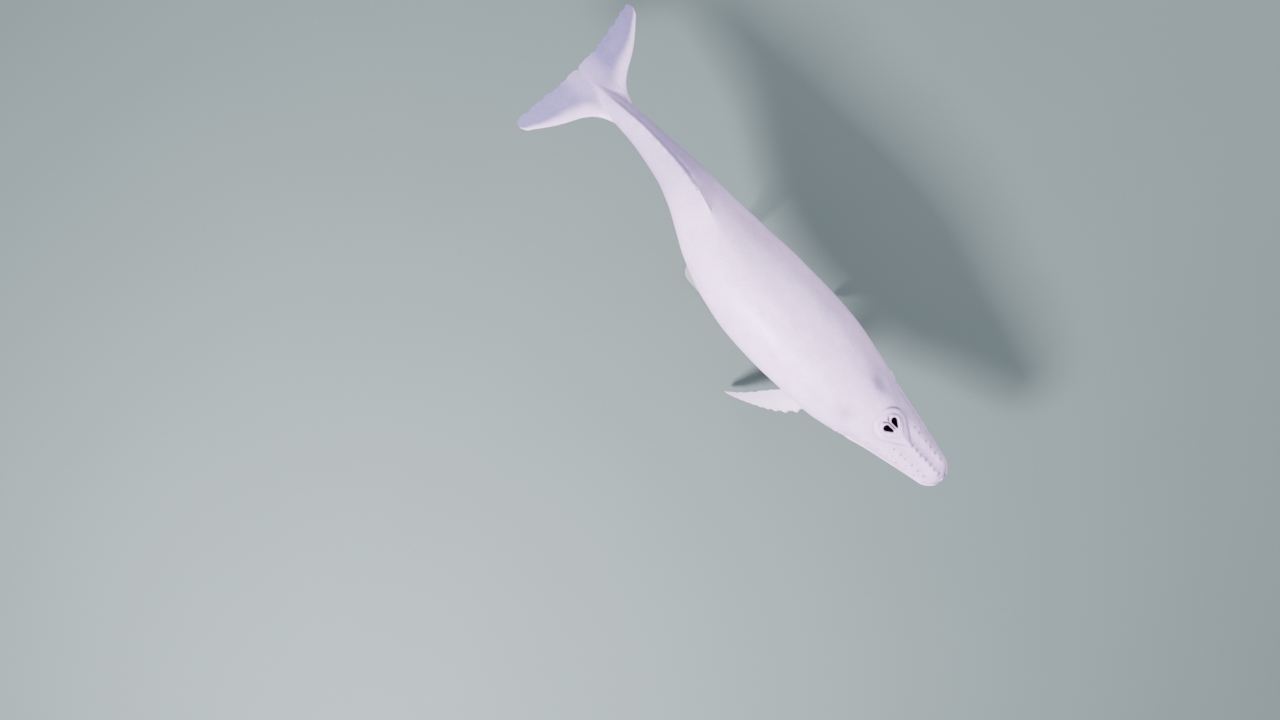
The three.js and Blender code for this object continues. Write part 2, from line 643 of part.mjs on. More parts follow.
/** One fluke, on the left for side 1 and on the right for side -1, from within the tail out to its tip. */
function fluke(side, halfSpan, tipBack) {
  const { centre, heading, left, up } = flukeFrame();
  const frontAt = smoothThrough(flukeOutline, 'front');
  const rearAt = smoothThrough(flukeOutline, 'back');
  const thickAt = smoothThrough(flukeOutline, 'thick');
  const planeAt = sideAt(flukeFrameAt) * bodyLength;
  return loft(flukePlaces.map((out) => {
    const reach = out * halfSpan * bodyLength;
    const waves = Math.sin(31 * out + side) + Math.sin(53 * out);
    const ragged = flukeRagged * smoothstep(out, 0.1, 0.3) * waves;
    const moved = tipBack * out ** 3 - flukeForward;
    const ahead = (flukeFrameAt - frontAt(out) - moved) * bodyLength;
    const front = centre.clone().addScaledVector(heading, ahead)
      .addScaledVector(left, side * reach).addScaledVector(up, planeAt - flukeDroop * out ** 2);
    const chord = (rearAt(out) + ragged - frontAt(out)) * bodyLength;
    return finRing(front, heading.clone().negate(), up, chord, thickAt(out));
  }));
}

/** One flipper, hanging down and swept back, with knobs along its front edge. */
function flipper(side, out) {
  const { centre, heading, left, up } = frameAt(flipperRootAt);
  const chordAt = smoothThrough(flipperOutline, 'chord');
  const thickAt = smoothThrough(flipperOutline, 'thick');
  const point = (back, outward, down) => centre.clone().addScaledVector(heading, -back * bodyLength)
    .addScaledVector(left, side * outward * bodyLength).addScaledVector(up, -down * bodyLength);
  const root = point(0, flipperRootOut, flipperRootDown);
  const bend = point(flipperBend.back * flipperBack, flipperRootOut + flipperBend.out * out,
    flipperRootDown + flipperBend.drop * flipperDrop);
  const tip = point(flipperBack, flipperRootOut + out, flipperRootDown + flipperDrop);
  const spine = new THREE.QuadraticBezierCurve3(root, bend, tip);
  const dips = knobPlaces.slice(1).map((place, i) => (place + knobPlaces[i]) / 2);
  const nearTip = [0.955, 0.985, 1];
  const places = [flipperOutline[0].at, 0.04, ...knobPlaces, ...dips, ...nearTip].sort((a, b) => a - b);
  return loft(places.map((t) => {
    const along = spine.getTangent(Math.max(t, 0));
    const inside = Math.min(t, 0) * flipperDrop * bodyLength;
    const middle = spine.getPoint(Math.max(t, 0)).addScaledVector(along, inside);
    const forward = heading.clone().addScaledVector(along, -heading.dot(along)).normalize();
    const through = new THREE.Vector3().crossVectors(forward, along);
    const turn = radians(side * flipperTwist * clamp(t, 0, 1));
    forward.applyAxisAngle(along, turn);
    through.applyAxisAngle(along, turn);
    const knobs = knobPlaces.map((place, i) => (1 - knobFading * i) * bump(t, place, knobReach));
    const knob = knobHeight * Math.max(...knobs);
    const chord = (chordAt(t) + knob) * bodyLength;
    const ahead = (flipperFrontShare * chordAt(t) + knob) * bodyLength;
    const front = middle.addScaledVector(forward, ahead);
    return finRing(front, forward.negate(), through, chord, thickAt(t));
  }));
}

/** The small hooked fin on the back. */
function dorsalFin() {
  const middleAt = (finFrontAt + finBackAt) / 2;
  const { centre, heading, left, up } = frameAt(middleAt);
  const ridge = backAt(finBackAt) * bodyLength;
  return loft([-0.9, 0, 0.3, 0.55, 0.78, 0.93, 1].map((level) => {
    const rise = Math.max(level, 0);
    const frontAt = finFrontAt + (finBackAt - finFrontAt) * (finRake * rise ** 1.15);
    const rearAt = finBackAt - finHook * Math.sin(Math.PI * rise) + finHook * rise ** 2;
    const front = centre.clone().addScaledVector(heading, (middleAt - frontAt) * bodyLength)
      .addScaledVector(up, ridge + finRaised + finHeight * level);
    const thick = finThickness * (1 - finTipThinner * rise);
    return finRing(front, heading.clone().negate(), left, (rearAt - frontAt) * bodyLength, thick);
  }));
}

/** The base plate: a rounded rectangle with a small bevel round both faces. */
function standBase() {
  const [halfLength, halfWidth, inner] = [baseLength / 2 - baseBevel, baseWidth / 2 - baseBevel, baseCorner];
  const plate = new THREE.Shape();
  plate.moveTo(inner - halfLength, -halfWidth);
  plate.absarc(halfLength - inner, inner - halfWidth, inner, -Math.PI / 2, 0);
  plate.absarc(halfLength - inner, halfWidth - inner, inner, 0, Math.PI / 2);
  plate.absarc(inner - halfLength, halfWidth - inner, inner, Math.PI / 2, Math.PI);
  plate.absarc(inner - halfLength, inner - halfWidth, inner, Math.PI, 1.5 * Math.PI);
  const geometry = new THREE.ExtrudeGeometry(plate, {
    depth: baseThickness - 2 * baseBevel,
    bevelThickness: baseBevel,
    bevelSize: baseBevel,
    bevelSegments: 1,
    curveSegments: 4,
  });
  return solid(geometry.translate(0, 0, baseBevel));
}

/** A rod with a flanged foot, from the base up into the body's place. */
function standRod(at, height) {
  const foot = baseThickness + touchGap;
  const footTop = foot + rodFootHeight;
  const profile = [
    [0, foot], [rodFootRadius, foot], [rodFootRadius, footTop - rodFootEdge],
    [rodFootRadius - rodFootEdge, footTop], [rodRadius + rodFillet, footTop],
    [rodRadius, footTop + rodFillet], [rodRadius, height], [0, height],
  ].map(([x, y]) => new THREE.Vector2(x, y));
  const geometry = new THREE.LatheGeometry(profile, rodSides).rotateX(Math.PI / 2);
  const { centre } = frameAt(at);
  return solid(geometry.translate(centre.x, centre.y, 0));
}

/** The end of the tail with both flukes on it, parted down the middle into its two sides. */
function flukes() {
  const whole = smoothTrunk(evenly(tailStockEndAt, keelEndAt, 8))
    .add(fluke(1, flukeHalfSpan.left, flukeTipBack.left))
    .add(fluke(-1, flukeHalfSpan.right, flukeTipBack.right));
  const { centre, heading, left, up } = flukeFrame();
  const planeAt = centre.addScaledVector(up, sideAt(flukeFrameAt) * bodyLength);
  const cut = new THREE.BoxGeometry(0.3 * bodyLength, touchGap, 0.3 * bodyLength);
  const parted = whole.subtract(placedSolid(cut, [1, 1, 1], [heading, left, up], planeAt));
  const middleY = (piece) => (piece.boundingBox().min[1] + piece.boundingBox().max[1]) / 2;
  return parted.decompose().filter((piece) => piece.volume() > 1e6).sort((a, b) => middleY(b) - middleY(a));
}

const chest = pleatedTrunk(neckAt, chestEndAt, 7);
const belly = pleatedTrunk(chestEndAt, bellyEndAt, 7);
const loin = smoothTrunk(evenly(bellyEndAt, loinEndAt, 9));
const knuckleLastAt = knuckleFirstAt + (knuckleCount - 1) * knuckleStep;
const knucklePlaces = evenly(knuckleFirstAt, knuckleLastAt, 2 * knuckleCount - 2);
const tailStock = smoothTrunk([loinEndAt, ...knucklePlaces, tailStockEndAt]);
const roomyChest = pleatedTrunk(neckAt, chestEndAt, 7, touchGap);
const roomyLoin = smoothTrunk(evenly(bellyEndAt, loinEndAt, 9), touchGap);
const [leftFluke, rightFluke] = flukes();
const eyes = { left: eyePieces(eyeAngle), right: eyePieces(180 - eyeAngle) };

const upperForms = [eyes.left.lids, eyes.right.lids, ...upperTubercles(), ...guardFolds()];
const upperHead = upperForms.reduce((whole, form) => whole.add(form), upperHeadCore());
const upperCuts = [eyes.left.socket, eyes.right.socket, ...blowholes()];
const head = upperCuts.reduce((whole, cut) => whole.subtract(cut), upperHead);
const lowerJaw = lowerTubercles().reduce((whole, form) => whole.add(form), lowerJawCore());

addNode('head', largest(head), 'skin');
addNode('lower_jaw', largest(lowerJaw), 'belly');
addNode('eye_left', eyes.left.ball, 'eye');
addNode('eye_right', eyes.right.ball, 'eye');
addNode('chest', chest, 'skin');
addNode('belly', belly, 'skin');
addNode('loin', loin, 'skin');
addNode('dorsal_fin', largest(dorsalFin().subtract(roomyLoin)), 'fin');
addNode('tail_stock', tailStock, 'skin');
addNode('fluke_left', leftFluke, 'fin');
addNode('fluke_right', rightFluke, 'fin');
addNode('flipper_left', largest(flipper(1, flipperOut.left).subtract(roomyChest)), 'fin');
addNode('flipper_right', largest(flipper(-1, flipperOut.right).subtract(roomyChest)), 'fin');
addNode('stand_base', standBase(), 'base');
addNode('stand_rod_front', largest(standRod(rodPlaces.front, axisHeight).subtract(roomyChest)), 'steel');
addNode('stand_rod_rear', largest(standRod(rodPlaces.rear, axisHeight).subtract(roomyLoin)), 'steel');

export default model;
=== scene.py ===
"""A pale young humpback whale on its display stand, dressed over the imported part.

All sizes are in metres, in the part's own frame: the nose points along +X, the whale's left side is +Y and the
floor is at height 0. A place along the body is its share of the length, 0 at the snout and 1 at the notch of the
flukes, and a place round it is an angle, 0 on the left side, 90 on the back and -90 on the belly.
"""

import logging
import math
from dataclasses import dataclass, field
from enum import Enum
from typing import Callable

import bpy
import numpy as np
from mathutils import Matrix, Vector
from mathutils.kdtree import KDTree


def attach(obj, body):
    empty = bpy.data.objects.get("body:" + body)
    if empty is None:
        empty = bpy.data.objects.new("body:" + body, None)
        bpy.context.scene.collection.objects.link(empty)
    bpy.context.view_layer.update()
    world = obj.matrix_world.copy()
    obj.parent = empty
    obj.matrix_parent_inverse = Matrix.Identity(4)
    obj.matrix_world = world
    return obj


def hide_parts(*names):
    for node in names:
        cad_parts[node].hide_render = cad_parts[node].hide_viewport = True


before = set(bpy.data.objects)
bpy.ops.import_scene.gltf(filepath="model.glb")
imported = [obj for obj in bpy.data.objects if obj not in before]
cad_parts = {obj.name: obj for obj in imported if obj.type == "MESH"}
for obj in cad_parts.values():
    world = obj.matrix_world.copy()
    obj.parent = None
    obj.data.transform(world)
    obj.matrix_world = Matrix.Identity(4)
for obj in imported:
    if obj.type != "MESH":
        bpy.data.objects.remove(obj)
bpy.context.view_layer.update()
LOG = logging.getLogger("whale")
WELD = 1e-6
SHARP_EDGE = math.radians(35)
Colour = tuple[float, float, float]
Curve = Callable[[np.ndarray], np.ndarray]


def smooth_through(places: list[float], values: list[float]) -> Curve:
    """Fit a smooth curve through points that never overshoots them.

    Args:
        places: where the points are, in rising order.
        values: the curve's value at each of them.

    Returns:
        A function of an array of places, level beyond both ends.
    """
    at, value = np.array(places, float), np.array(values, float)
    span = np.diff(at)
    slope = np.diff(value) / span
    same = slope[:-1] * slope[1:] > 0
    total = np.where(same, slope[:-1] + slope[1:], 1.0)
    inner = np.where(same, 2 * slope[:-1] * slope[1:] / total, 0.0)
    tangent = np.concatenate([slope[:1], inner, slope[-1:]])

    def curve(place: np.ndarray) -> np.ndarray:
        """Return the curve's value at each place.

        Args:
            place: places, inside the curve's range or beyond it.

        Returns:
            The values, in an array of the same shape.
        """
        held = np.clip(np.asarray(place, float), at[0], at[-1])
        i = np.clip(np.searchsorted(at, held, side="left") - 1, 0, len(at) - 2)
        t = (held - at[i]) / span[i]
        rise = (2 * t**3 - 3 * t**2 + 1) * value[i] + (3 * t**2 - 2 * t**3) * value[i + 1]
        lean = (t**3 - 2 * t**2 + t) * tangent[i] + (t**3 - t**2) * tangent[i + 1]
        return rise + span[i] * lean

    return curve


def smoothstep(value: np.ndarray, low: float, high: float) -> np.ndarray:
    """Return 0 below low, 1 above high and a smooth rise between."""
    t = np.clip((np.asarray(value, float) - low) / (high - low), 0, 1)
    return t * t * (3 - 2 * t)


def bump(value: np.ndarray, middle: float, reach: float) -> np.ndarray:
    """Return a smooth bump that is 1 at the middle and fades over the reach."""
    return np.exp(-(((value - middle) / reach) ** 2))


def unit(vectors: np.ndarray) -> np.ndarray:
    """Return vectors scaled to length 1."""
    return vectors / np.maximum(np.linalg.norm(vectors, axis=-1, keepdims=True), 1e-12)


def deselect_all() -> None:
    """Leave edit mode and select nothing."""
    if bpy.context.object and bpy.context.object.mode != "OBJECT":
        bpy.ops.object.mode_set(mode="OBJECT")
    bpy.ops.object.select_all(action="DESELECT")


def make_active(piece: bpy.types.Object) -> None:
    """Select one object alone and make it the active one.

    Args:
        piece: the object.
    """
    deselect_all()
    piece.select_set(True)
    bpy.context.view_layer.objects.active = piece


def settle(piece: bpy.types.Object) -> None:
    """Move an object's place, turn and scale into its mesh."""
    make_active(piece)
    bpy.ops.object.transform_apply(location=True, rotation=True, scale=True)


def apply_modifiers(piece: bpy.types.Object) -> None:
    """Apply all of an object's modifiers in order.

    Args:
        piece: the object.
    """
    make_active(piece)
    for modifier in list(piece.modifiers):
        bpy.ops.object.modifier_apply(modifier=modifier.name)


def vertex_places(piece: bpy.types.Object) -> np.ndarray:
    """Return an object's vertices as rows of x, y and z.

    Args:
        piece: the mesh object.

    Returns:
        An array with a row for each vertex.
    """
    flat = np.empty(len(piece.data.vertices) * 3)
    piece.data.vertices.foreach_get("co", flat)
    return flat.reshape(-1, 3)


def name_active(name: str) -> bpy.types.Object:
    """Give the object that was just made a name.

    Args:
        name: the name, of its mesh too.

    Returns:
        The object.
    """
    piece = bpy.context.object
    piece.name = piece.data.name = name
    return piece


def point_faces_out(piece: bpy.types.Object, fill: bool = False) -> None:
    """Point an object's faces outward.

    Args:
        piece: the object.
        fill: whether the holes of its mesh are closed first.
    """
    make_active(piece)
    bpy.ops.object.mode_set(mode="EDIT")
    bpy.ops.mesh.select_all(action="SELECT")
    if fill:
        bpy.ops.mesh.fill_holes(sides=0)
        bpy.ops.mesh.select_all(action="SELECT")
    bpy.ops.mesh.normals_make_consistent(inside=False)
    bpy.ops.object.mode_set(mode="OBJECT")


def smooth_edges(piece: bpy.types.Object) -> None:
    """Shade an object smooth across all but its sharp edges."""
    make_active(piece)
    bpy.ops.object.shade_smooth_by_angle(angle=SHARP_EDGE)


def combine(piece: bpy.types.Object, other: bpy.types.Object, operation: str) -> None:
    """Join a solid to an object's mesh, or cut it out of it.

    Args:
        piece: the object whose mesh changes.
        other: the other solid, which stays as it is.
        operation: UNION or DIFFERENCE.
    """
    step = piece.modifiers.new(operation.lower(), "BOOLEAN")
    step.operation, step.solver, step.object = operation, "MANIFOLD", other
    apply_modifiers(piece)


def write_attribute(piece: bpy.types.Object, name: str, values: np.ndarray) -> None:
    """Store a number for each of an object's vertices.

    Args:
        piece: the object.
        name: the name that its material reads the numbers by.
        values: the numbers, in the vertices' order.
    """
    attribute = piece.data.attributes.new(name, "FLOAT", "POINT")
    attribute.data.foreach_set("value", values.astype(np.float32))


def point_tree(*clouds: np.ndarray) -> KDTree:
    """Return a search tree of points, numbered in the order in which they are given.

    Args:
        clouds: arrays of points, whose last axis is x, y and z.

    Returns:
        The tree, ready to be searched.
    """
    points = np.concatenate([cloud.reshape(-1, 3) for cloud in clouds])
    tree = KDTree(len(points))
    for i, point in enumerate(points):
        tree.insert(point, i)
    tree.balance()
    return tree


def move_vertices(piece: bpy.types.Object, places: np.ndarray) -> None:
    """Put an object's vertices at new places."""
    piece.data.vertices.foreach_set("co", places.astype(np.float32).ravel())
    piece.data.update()


def wrapped_grid(name: str, places: np.ndarray, close: bool = True) -> bpy.types.Object:
    """Wrap a flat grid into a tube.

    Args:
        name: the new object's name.
        places: an array of rings, points and x, y, z. The first ring may be one point.
        close: whether both of its ends are closed.

    Returns:
        The mesh object, with its faces pointing out if it is closed.
    """
    rings, count = places.shape[:2]
    deselect_all()
    bpy.ops.mesh.primitive_grid_add(x_subdivisions=count, y_subdivisions=rings - 1, size=2)
    piece = name_active(name)
    flat = vertex_places(piece)
    column = np.rint((flat[:, 0] + 1) / 2 * count).astype(int) % count
    row = np.rint((flat[:, 1] + 1) / 2 * (rings - 1)).astype(int)
    move_vertices(piece, places[row, column])
    bpy.ops.object.mode_set(mode="EDIT")
    bpy.ops.mesh.select_all(action="SELECT")
    bpy.ops.mesh.remove_doubles(threshold=WELD)
    bpy.ops.object.mode_set(mode="OBJECT")
    if close:
        point_faces_out(piece, fill=True)
    return piece


def bridge_rings(front: bpy.types.Object, rear: bpy.types.Object) -> None:
    """Join the rear tube to the front one at their neighbouring rings and close the tail end.

    Args:
        front: the tube with the closed snout, which keeps its name.
        rear: the tube behind it, which becomes part of it.
    """
    joint_x = float(vertex_places(rear)[:, 0].max())
    near_joint = 0.5
    make_active(front)
    rear.select_set(True)
    bpy.ops.object.join()
    bpy.ops.object.mode_set(mode="EDIT")
    bpy.ops.mesh.select_mode(type="EDGE")
    bpy.ops.mesh.select_all(action="DESELECT")
    bpy.ops.mesh.select_non_manifold()
    bpy.ops.object.mode_set(mode="OBJECT")
    mesh = front.data
    for edge in mesh.edges:
        edge.select = edge.select and mesh.vertices[edge.vertices[0]].co.x > joint_x - near_joint
    chosen = {index for edge in mesh.edges if edge.select for index in edge.vertices}
    for vertex in mesh.vertices:
        vertex.select = vertex.index in chosen
    bpy.ops.object.mode_set(mode="EDIT")
    bpy.ops.mesh.bridge_edge_loops()
    bpy.ops.object.mode_set(mode="OBJECT")
    point_faces_out(front, fill=True)


class Side(Enum):
    """A side of the animal, as the sign of its direction to the left."""

    LEFT = 1
    RIGHT = -1


@dataclass
class Swept:
    """A closed mesh of swept rings, to be joined to the body or cut out of it.

    Shade is how grey the skin is at each of its points, and fillet how far from the join the skin is smoothed.
    """

    piece: bpy.types.Object
    points: np.ndarray
    shade: np.ndarray
    fillet: float


@dataclass
class BodyForm:
    """The whale's plain form: its outline, its bend and its roll, shared by everything that sits on it.

    The outline's rows are shares of the length: half width, then the height over the axis of the back, of the widest
    line and of the belly. Crest and keel are 1 where the back and belly are round, and more where they narrow to a
    ridge. The pose says how far the body's middle lies to the left, as a share too, and its roll in degrees.
    """

    length: float = 4.8
    axis_height: float = 1.25
    stand_share: float = 0.415
    snout_reach: float = 0.028
    upper_jaw_back: float = 0.0035
    upper_jaw_inset: float = 0.085
    upper_jaw_full: float = 0.09
    upper_jaw_fades: tuple[float, float] = (0.160, 0.205)
    outline: dict[str, list[float]] = field(default_factory=lambda: {
        "at": [0.0, 0.03, 0.055, 0.1, 0.142, 0.18, 0.22, 0.27, 0.33, 0.4, 0.47, 0.53,
               0.6, 0.645, 0.69, 0.745, 0.8, 0.86, 0.9, 0.93, 0.96, 0.99],
        "half_width": [0.0275, 0.0327, 0.0377, 0.0478, 0.057, 0.0675, 0.0785, 0.088, 0.094, 0.0967, 0.0948, 0.088,
                       0.0745, 0.0622, 0.05, 0.0385, 0.0302, 0.0242, 0.0215, 0.0175, 0.012, 0.006],
        "back": [0.009, 0.016, 0.0225, 0.0345, 0.045, 0.053, 0.0615, 0.071, 0.0795, 0.0855, 0.087, 0.085,
                 0.0805, 0.0765, 0.0695, 0.061, 0.053, 0.0445, 0.0345, 0.024, 0.0172, 0.014],
        "side": [-0.006, -0.003, 0.0005, 0.0065, 0.004, -0.011, -0.019, -0.015, -0.008, -0.003, 0.003, 0.008,
                 0.013, 0.0155, 0.017, 0.017, 0.0155, 0.014, 0.013, 0.0125, 0.012, 0.012],
        "belly": [-0.0275, -0.035, -0.043, -0.056, -0.0655, -0.0735, -0.081, -0.0875, -0.092, -0.0945, -0.0915,
                  -0.0845, -0.0715, -0.061, -0.0505, -0.0385, -0.029, -0.0195, -0.0115, -0.003, 0.004, 0.0085],
        "crest": [1, 1, 1, 1, 1, 1, 1, 1, 1, 1.02, 1.07, 1.16,
                  1.32, 1.45, 1.56, 1.66, 1.72, 1.72, 1.62, 1.5, 1.4, 1.3],
        "keel": [1, 1, 1, 1, 1, 1, 1, 1, 1, 1, 1, 1.03,
                 1.12, 1.2, 1.28, 1.38, 1.46, 1.5, 1.45, 1.4, 1.3, 1.2],
    })
    pose: dict[str, list[float]] = field(default_factory=lambda: {
        "at": [0.0, 0.24, 0.26, 0.33, 0.4, 0.47, 0.53, 0.6, 0.65, 0.7, 0.75, 0.82, 0.88, 0.94, 1.0],
        "left": [0.002, -0.01288, -0.01412, -0.015, -0.0185, -0.021, -0.02, -0.013,
                 -0.0045, 0.004, 0.009, 0.0098, 0.0065, 0.002, 0.0],
        "roll": [0, 0, 0, 0, 0, 0, 1, 2, 3.5, 5, 6.5, 7.5, 6.5, 5, 4],
    })

    def __post_init__(self) -> None:
        """Fit the smooth curves through the outline and the pose."""
        self.line = {key: smooth_through(self.outline["at"], row) for key, row in self.outline.items()}
        self.bend = {key: smooth_through(self.pose["at"], row) for key, row in self.pose.items()}

    def frame_at(self, at: np.ndarray) -> tuple[np.ndarray, np.ndarray, np.ndarray, np.ndarray]:
        """Find the sections' own frames.

        Args:
            at: places along the body.

        Returns:
            Each section's origin on the axis, and its directions to the nose, to the left and up.
        """
        at = np.asarray(at, float)
        step = 0.004
        slope = (self.bend["left"](at + step) - self.bend["left"](at - step)) / (2 * step)
        heading = unit(np.stack([np.ones_like(at), -slope, np.zeros_like(at)], -1))
        flat_left = np.stack([-heading[..., 1], heading[..., 0], np.zeros_like(at)], -1)
        roll = np.radians(self.bend["roll"](at))[..., None]
        above = np.array([0.0, 0.0, 1.0])
        left = flat_left * np.cos(roll) - above * np.sin(roll)
        up = flat_left * np.sin(roll) + above * np.cos(roll)
        sideways = (self.bend["left"](at) - self.bend["left"](self.stand_share)) * self.length
        middle = (self.line["back"](at) + self.line["belly"](at)) / 2 * self.length
        centre = np.stack([(self.stand_share - at) * self.length, sideways, self.axis_height + middle], -1)
        return centre - up * middle[..., None], heading, left, up

    def section(self, at: np.ndarray, angle: np.ndarray) -> tuple[np.ndarray, np.ndarray]:
        """Return how far to the left and how far over the axis the plain skin lies.

        Args:
            at: places along the body.
            angle: angles round the body.

        Returns:
            The distances to the left of the axis, and the heights over it.
        """
        turn = np.radians(angle)
        top = angle >= 0
        behind = np.where(top, self.upper_jaw_back, 0.0)
        share = np.clip((at - behind) / self.snout_reach, 0, 1)
        rounded = np.sqrt(np.clip(1 - (1 - share) ** 2, 0, 1))
        jaw = np.where(top, 1 - smoothstep(at, *self.upper_jaw_fades), 0.0)
        inset = self.upper_jaw_inset * jaw * smoothstep(at, 0.0, self.upper_jaw_full)
        half_width = self.line["half_width"](at) * self.length * rounded * (1 - inset)
        side = self.line["side"](at) * self.length
        edge = np.where(top, self.line["back"](at), self.line["belly"](at)) * self.length
        power = np.where(top, self.line["crest"](at), self.line["keel"](at))
        upper_flat = 0.80 + 0.20 * smoothstep(at, 0.03, 0.30)
        lower_flat = 0.88 + 0.12 * smoothstep(at, 0.20, 0.55)
        flat = np.where(top, upper_flat, lower_flat)
        y = np.sign(np.cos(turn)) * np.abs(np.cos(turn)) ** power * half_width
        z = side + np.abs(np.sin(turn)) ** flat * (edge - side) * rounded
        return y, z

    def place(self, at: np.ndarray, angle: np.ndarray) -> np.ndarray:
        """Return points of the plain skin.

        Args:
            at: places along the body.
            angle: angles round the body.

        Returns:
            An array of points, in the shape of both together.
        """
        at, angle = np.broadcast_arrays(np.asarray(at, float), np.asarray(angle, float))
        y, z = self.section(at, angle)
        centre, _, left, up = self.frame_at(at)
        return centre + left * y[..., None] + up * z[..., None]

    def outward(self, at: np.ndarray, angle: np.ndarray) -> np.ndarray:
        """Return the plain skin's outward directions, worked out on the point's own side of the mouth line.

        Args:
            at: places along the body.
            angle: angles round the body.

        Returns:
            Directions of length 1, in the shape of both together.
        """
        at, angle = np.broadcast_arrays(np.asarray(at, float), np.asarray(angle, float))
        step = 0.4
        low = np.where(np.abs(angle) < step, angle, angle - step)
        high = np.where(np.abs(angle) < step, angle + np.where(angle < 0, -step, step), angle + step)
        low, high = np.minimum(low, high), np.maximum(low, high)
        round_body = self.place(at, high) - self.place(at, low)
        ahead = np.maximum(at - 0.002, self.upper_jaw_back + 1e-4)
        noseward = self.place(ahead, angle) - self.place(ahead + 0.004, angle)
        return unit(np.cross(round_body, noseward))

    def tangent_frame(self, at: float, angle: float) -> Matrix:
        """Return a matrix at a point of the skin: X to the nose, Y round the body and Z outward.

        Args:
            at: the point's place along the body.
            angle: its angle round the body.

        Returns:
            The matrix, from the local frame to the part's own.
        """
        point = Vector(self.place(at, angle))
        normal = Vector(self.outward(at, angle))
        noseward = Vector(self.place(at - 0.003, angle) - self.place(at + 0.003, angle)).normalized()
        noseward = (noseward - normal * noseward.dot(normal)).normalized()
        across = normal.cross(noseward)
        turned = Matrix((noseward, across, normal)).transposed().to_4x4()
        return Matrix.Translation(point) @ turned


@dataclass
class SkinGrid:
    """A grid of points on the skin: the plain form there, and what is carved into it.

    Out is how far the skin stands out from the plain form. The other three are marks for its material: painted shade
    in the creases, the knobs' darker tops (partly real colour, partly painted shade), and grey skin together with
    painted shade.
    """

    form: BodyForm
    at: np.ndarray
    angle: np.ndarray

    def __post_init__(self) -> None:
        """Work out the plain form, with nothing carved."""
        self.plain = self.form.place(self.at, self.angle)
        self.outward = self.form.outward(self.at, self.angle)
        self.across, _ = self.form.section(self.at, self.angle)
        self.out, self.crease_shade, self.knob, self.shade = (np.zeros(self.at.shape) for _ in range(4))

    def local(self, middle: Matrix) -> np.ndarray:
        """Return the plain points in a local frame."""
        inverse = np.array(middle.inverted())
        return self.plain @ inverse[:3, :3].T + inverse[:3, 3]

    def darken(self, name: str, amount: np.ndarray) -> None:
        """Raise one of the marks to at least an amount."""
        setattr(self, name, np.maximum(getattr(self, name), amount))

    def carved(self) -> np.ndarray:
        """Return the carved points, in rings. The very snout stays plain."""
        return self.plain + self.outward * (self.out * smoothstep(self.at, 0.0, 0.004))[..., None]


@dataclass
class Mouth:
    """The closed mouth's line: a groove between the lips, which swell on both sides of it."""

    corner_at: float = 0.186
    corner_fade: float = 0.014
    starts_at: tuple[float, float] = (0.002, 0.012)
    groove_angles: tuple[float, float] = (0.45, 1.7)
    depth: float = 0.030
    lower_lip: float = 0.009
    lower_lip_angles: tuple[float, float] = (4.2, 2.6)
    upper_lip: float = 0.004
    upper_lip_angles: tuple[float, float] = (4.6, 2.4)
    corner_fold: float = 0.004

    def carve(self, grid: SkinGrid) -> None:
        """Cut the groove and raise the lips, with painted shade in the groove and the corner fold.

        Args:
            grid: the skin's grid, which takes the forms on.
        """
        from_line = np.minimum(np.abs(grid.angle), 180 - np.abs(grid.angle))
        below = grid.angle < 0
        open_share = 1 - smoothstep(grid.at, self.corner_at - self.corner_fade, self.corner_at)
        starts = smoothstep(grid.at, *self.starts_at)
        groove = 1 - smoothstep(from_line, *self.groove_angles)
        grid.out -= self.depth * groove * open_share * starts
        lower = self.lower_lip * bump(from_line, *self.lower_lip_angles)
        upper = self.upper_lip * bump(from_line, *self.upper_lip_angles)
        grid.out += np.where(below, lower, upper) * open_share * (1 - groove)
        # Painted shade in the groove between the lips.
        grid.darken("crease_shade", groove * open_share)
        fold = bump(grid.at, self.corner_at + 0.006, 0.004) * bump(from_line * np.where(below, 1, -1), 3.0, 4.5)
        grid.out -= self.corner_fold * fold
        # Painted shade in the fold at the corner.
        grid.darken("crease_shade", 0.5 * fold)


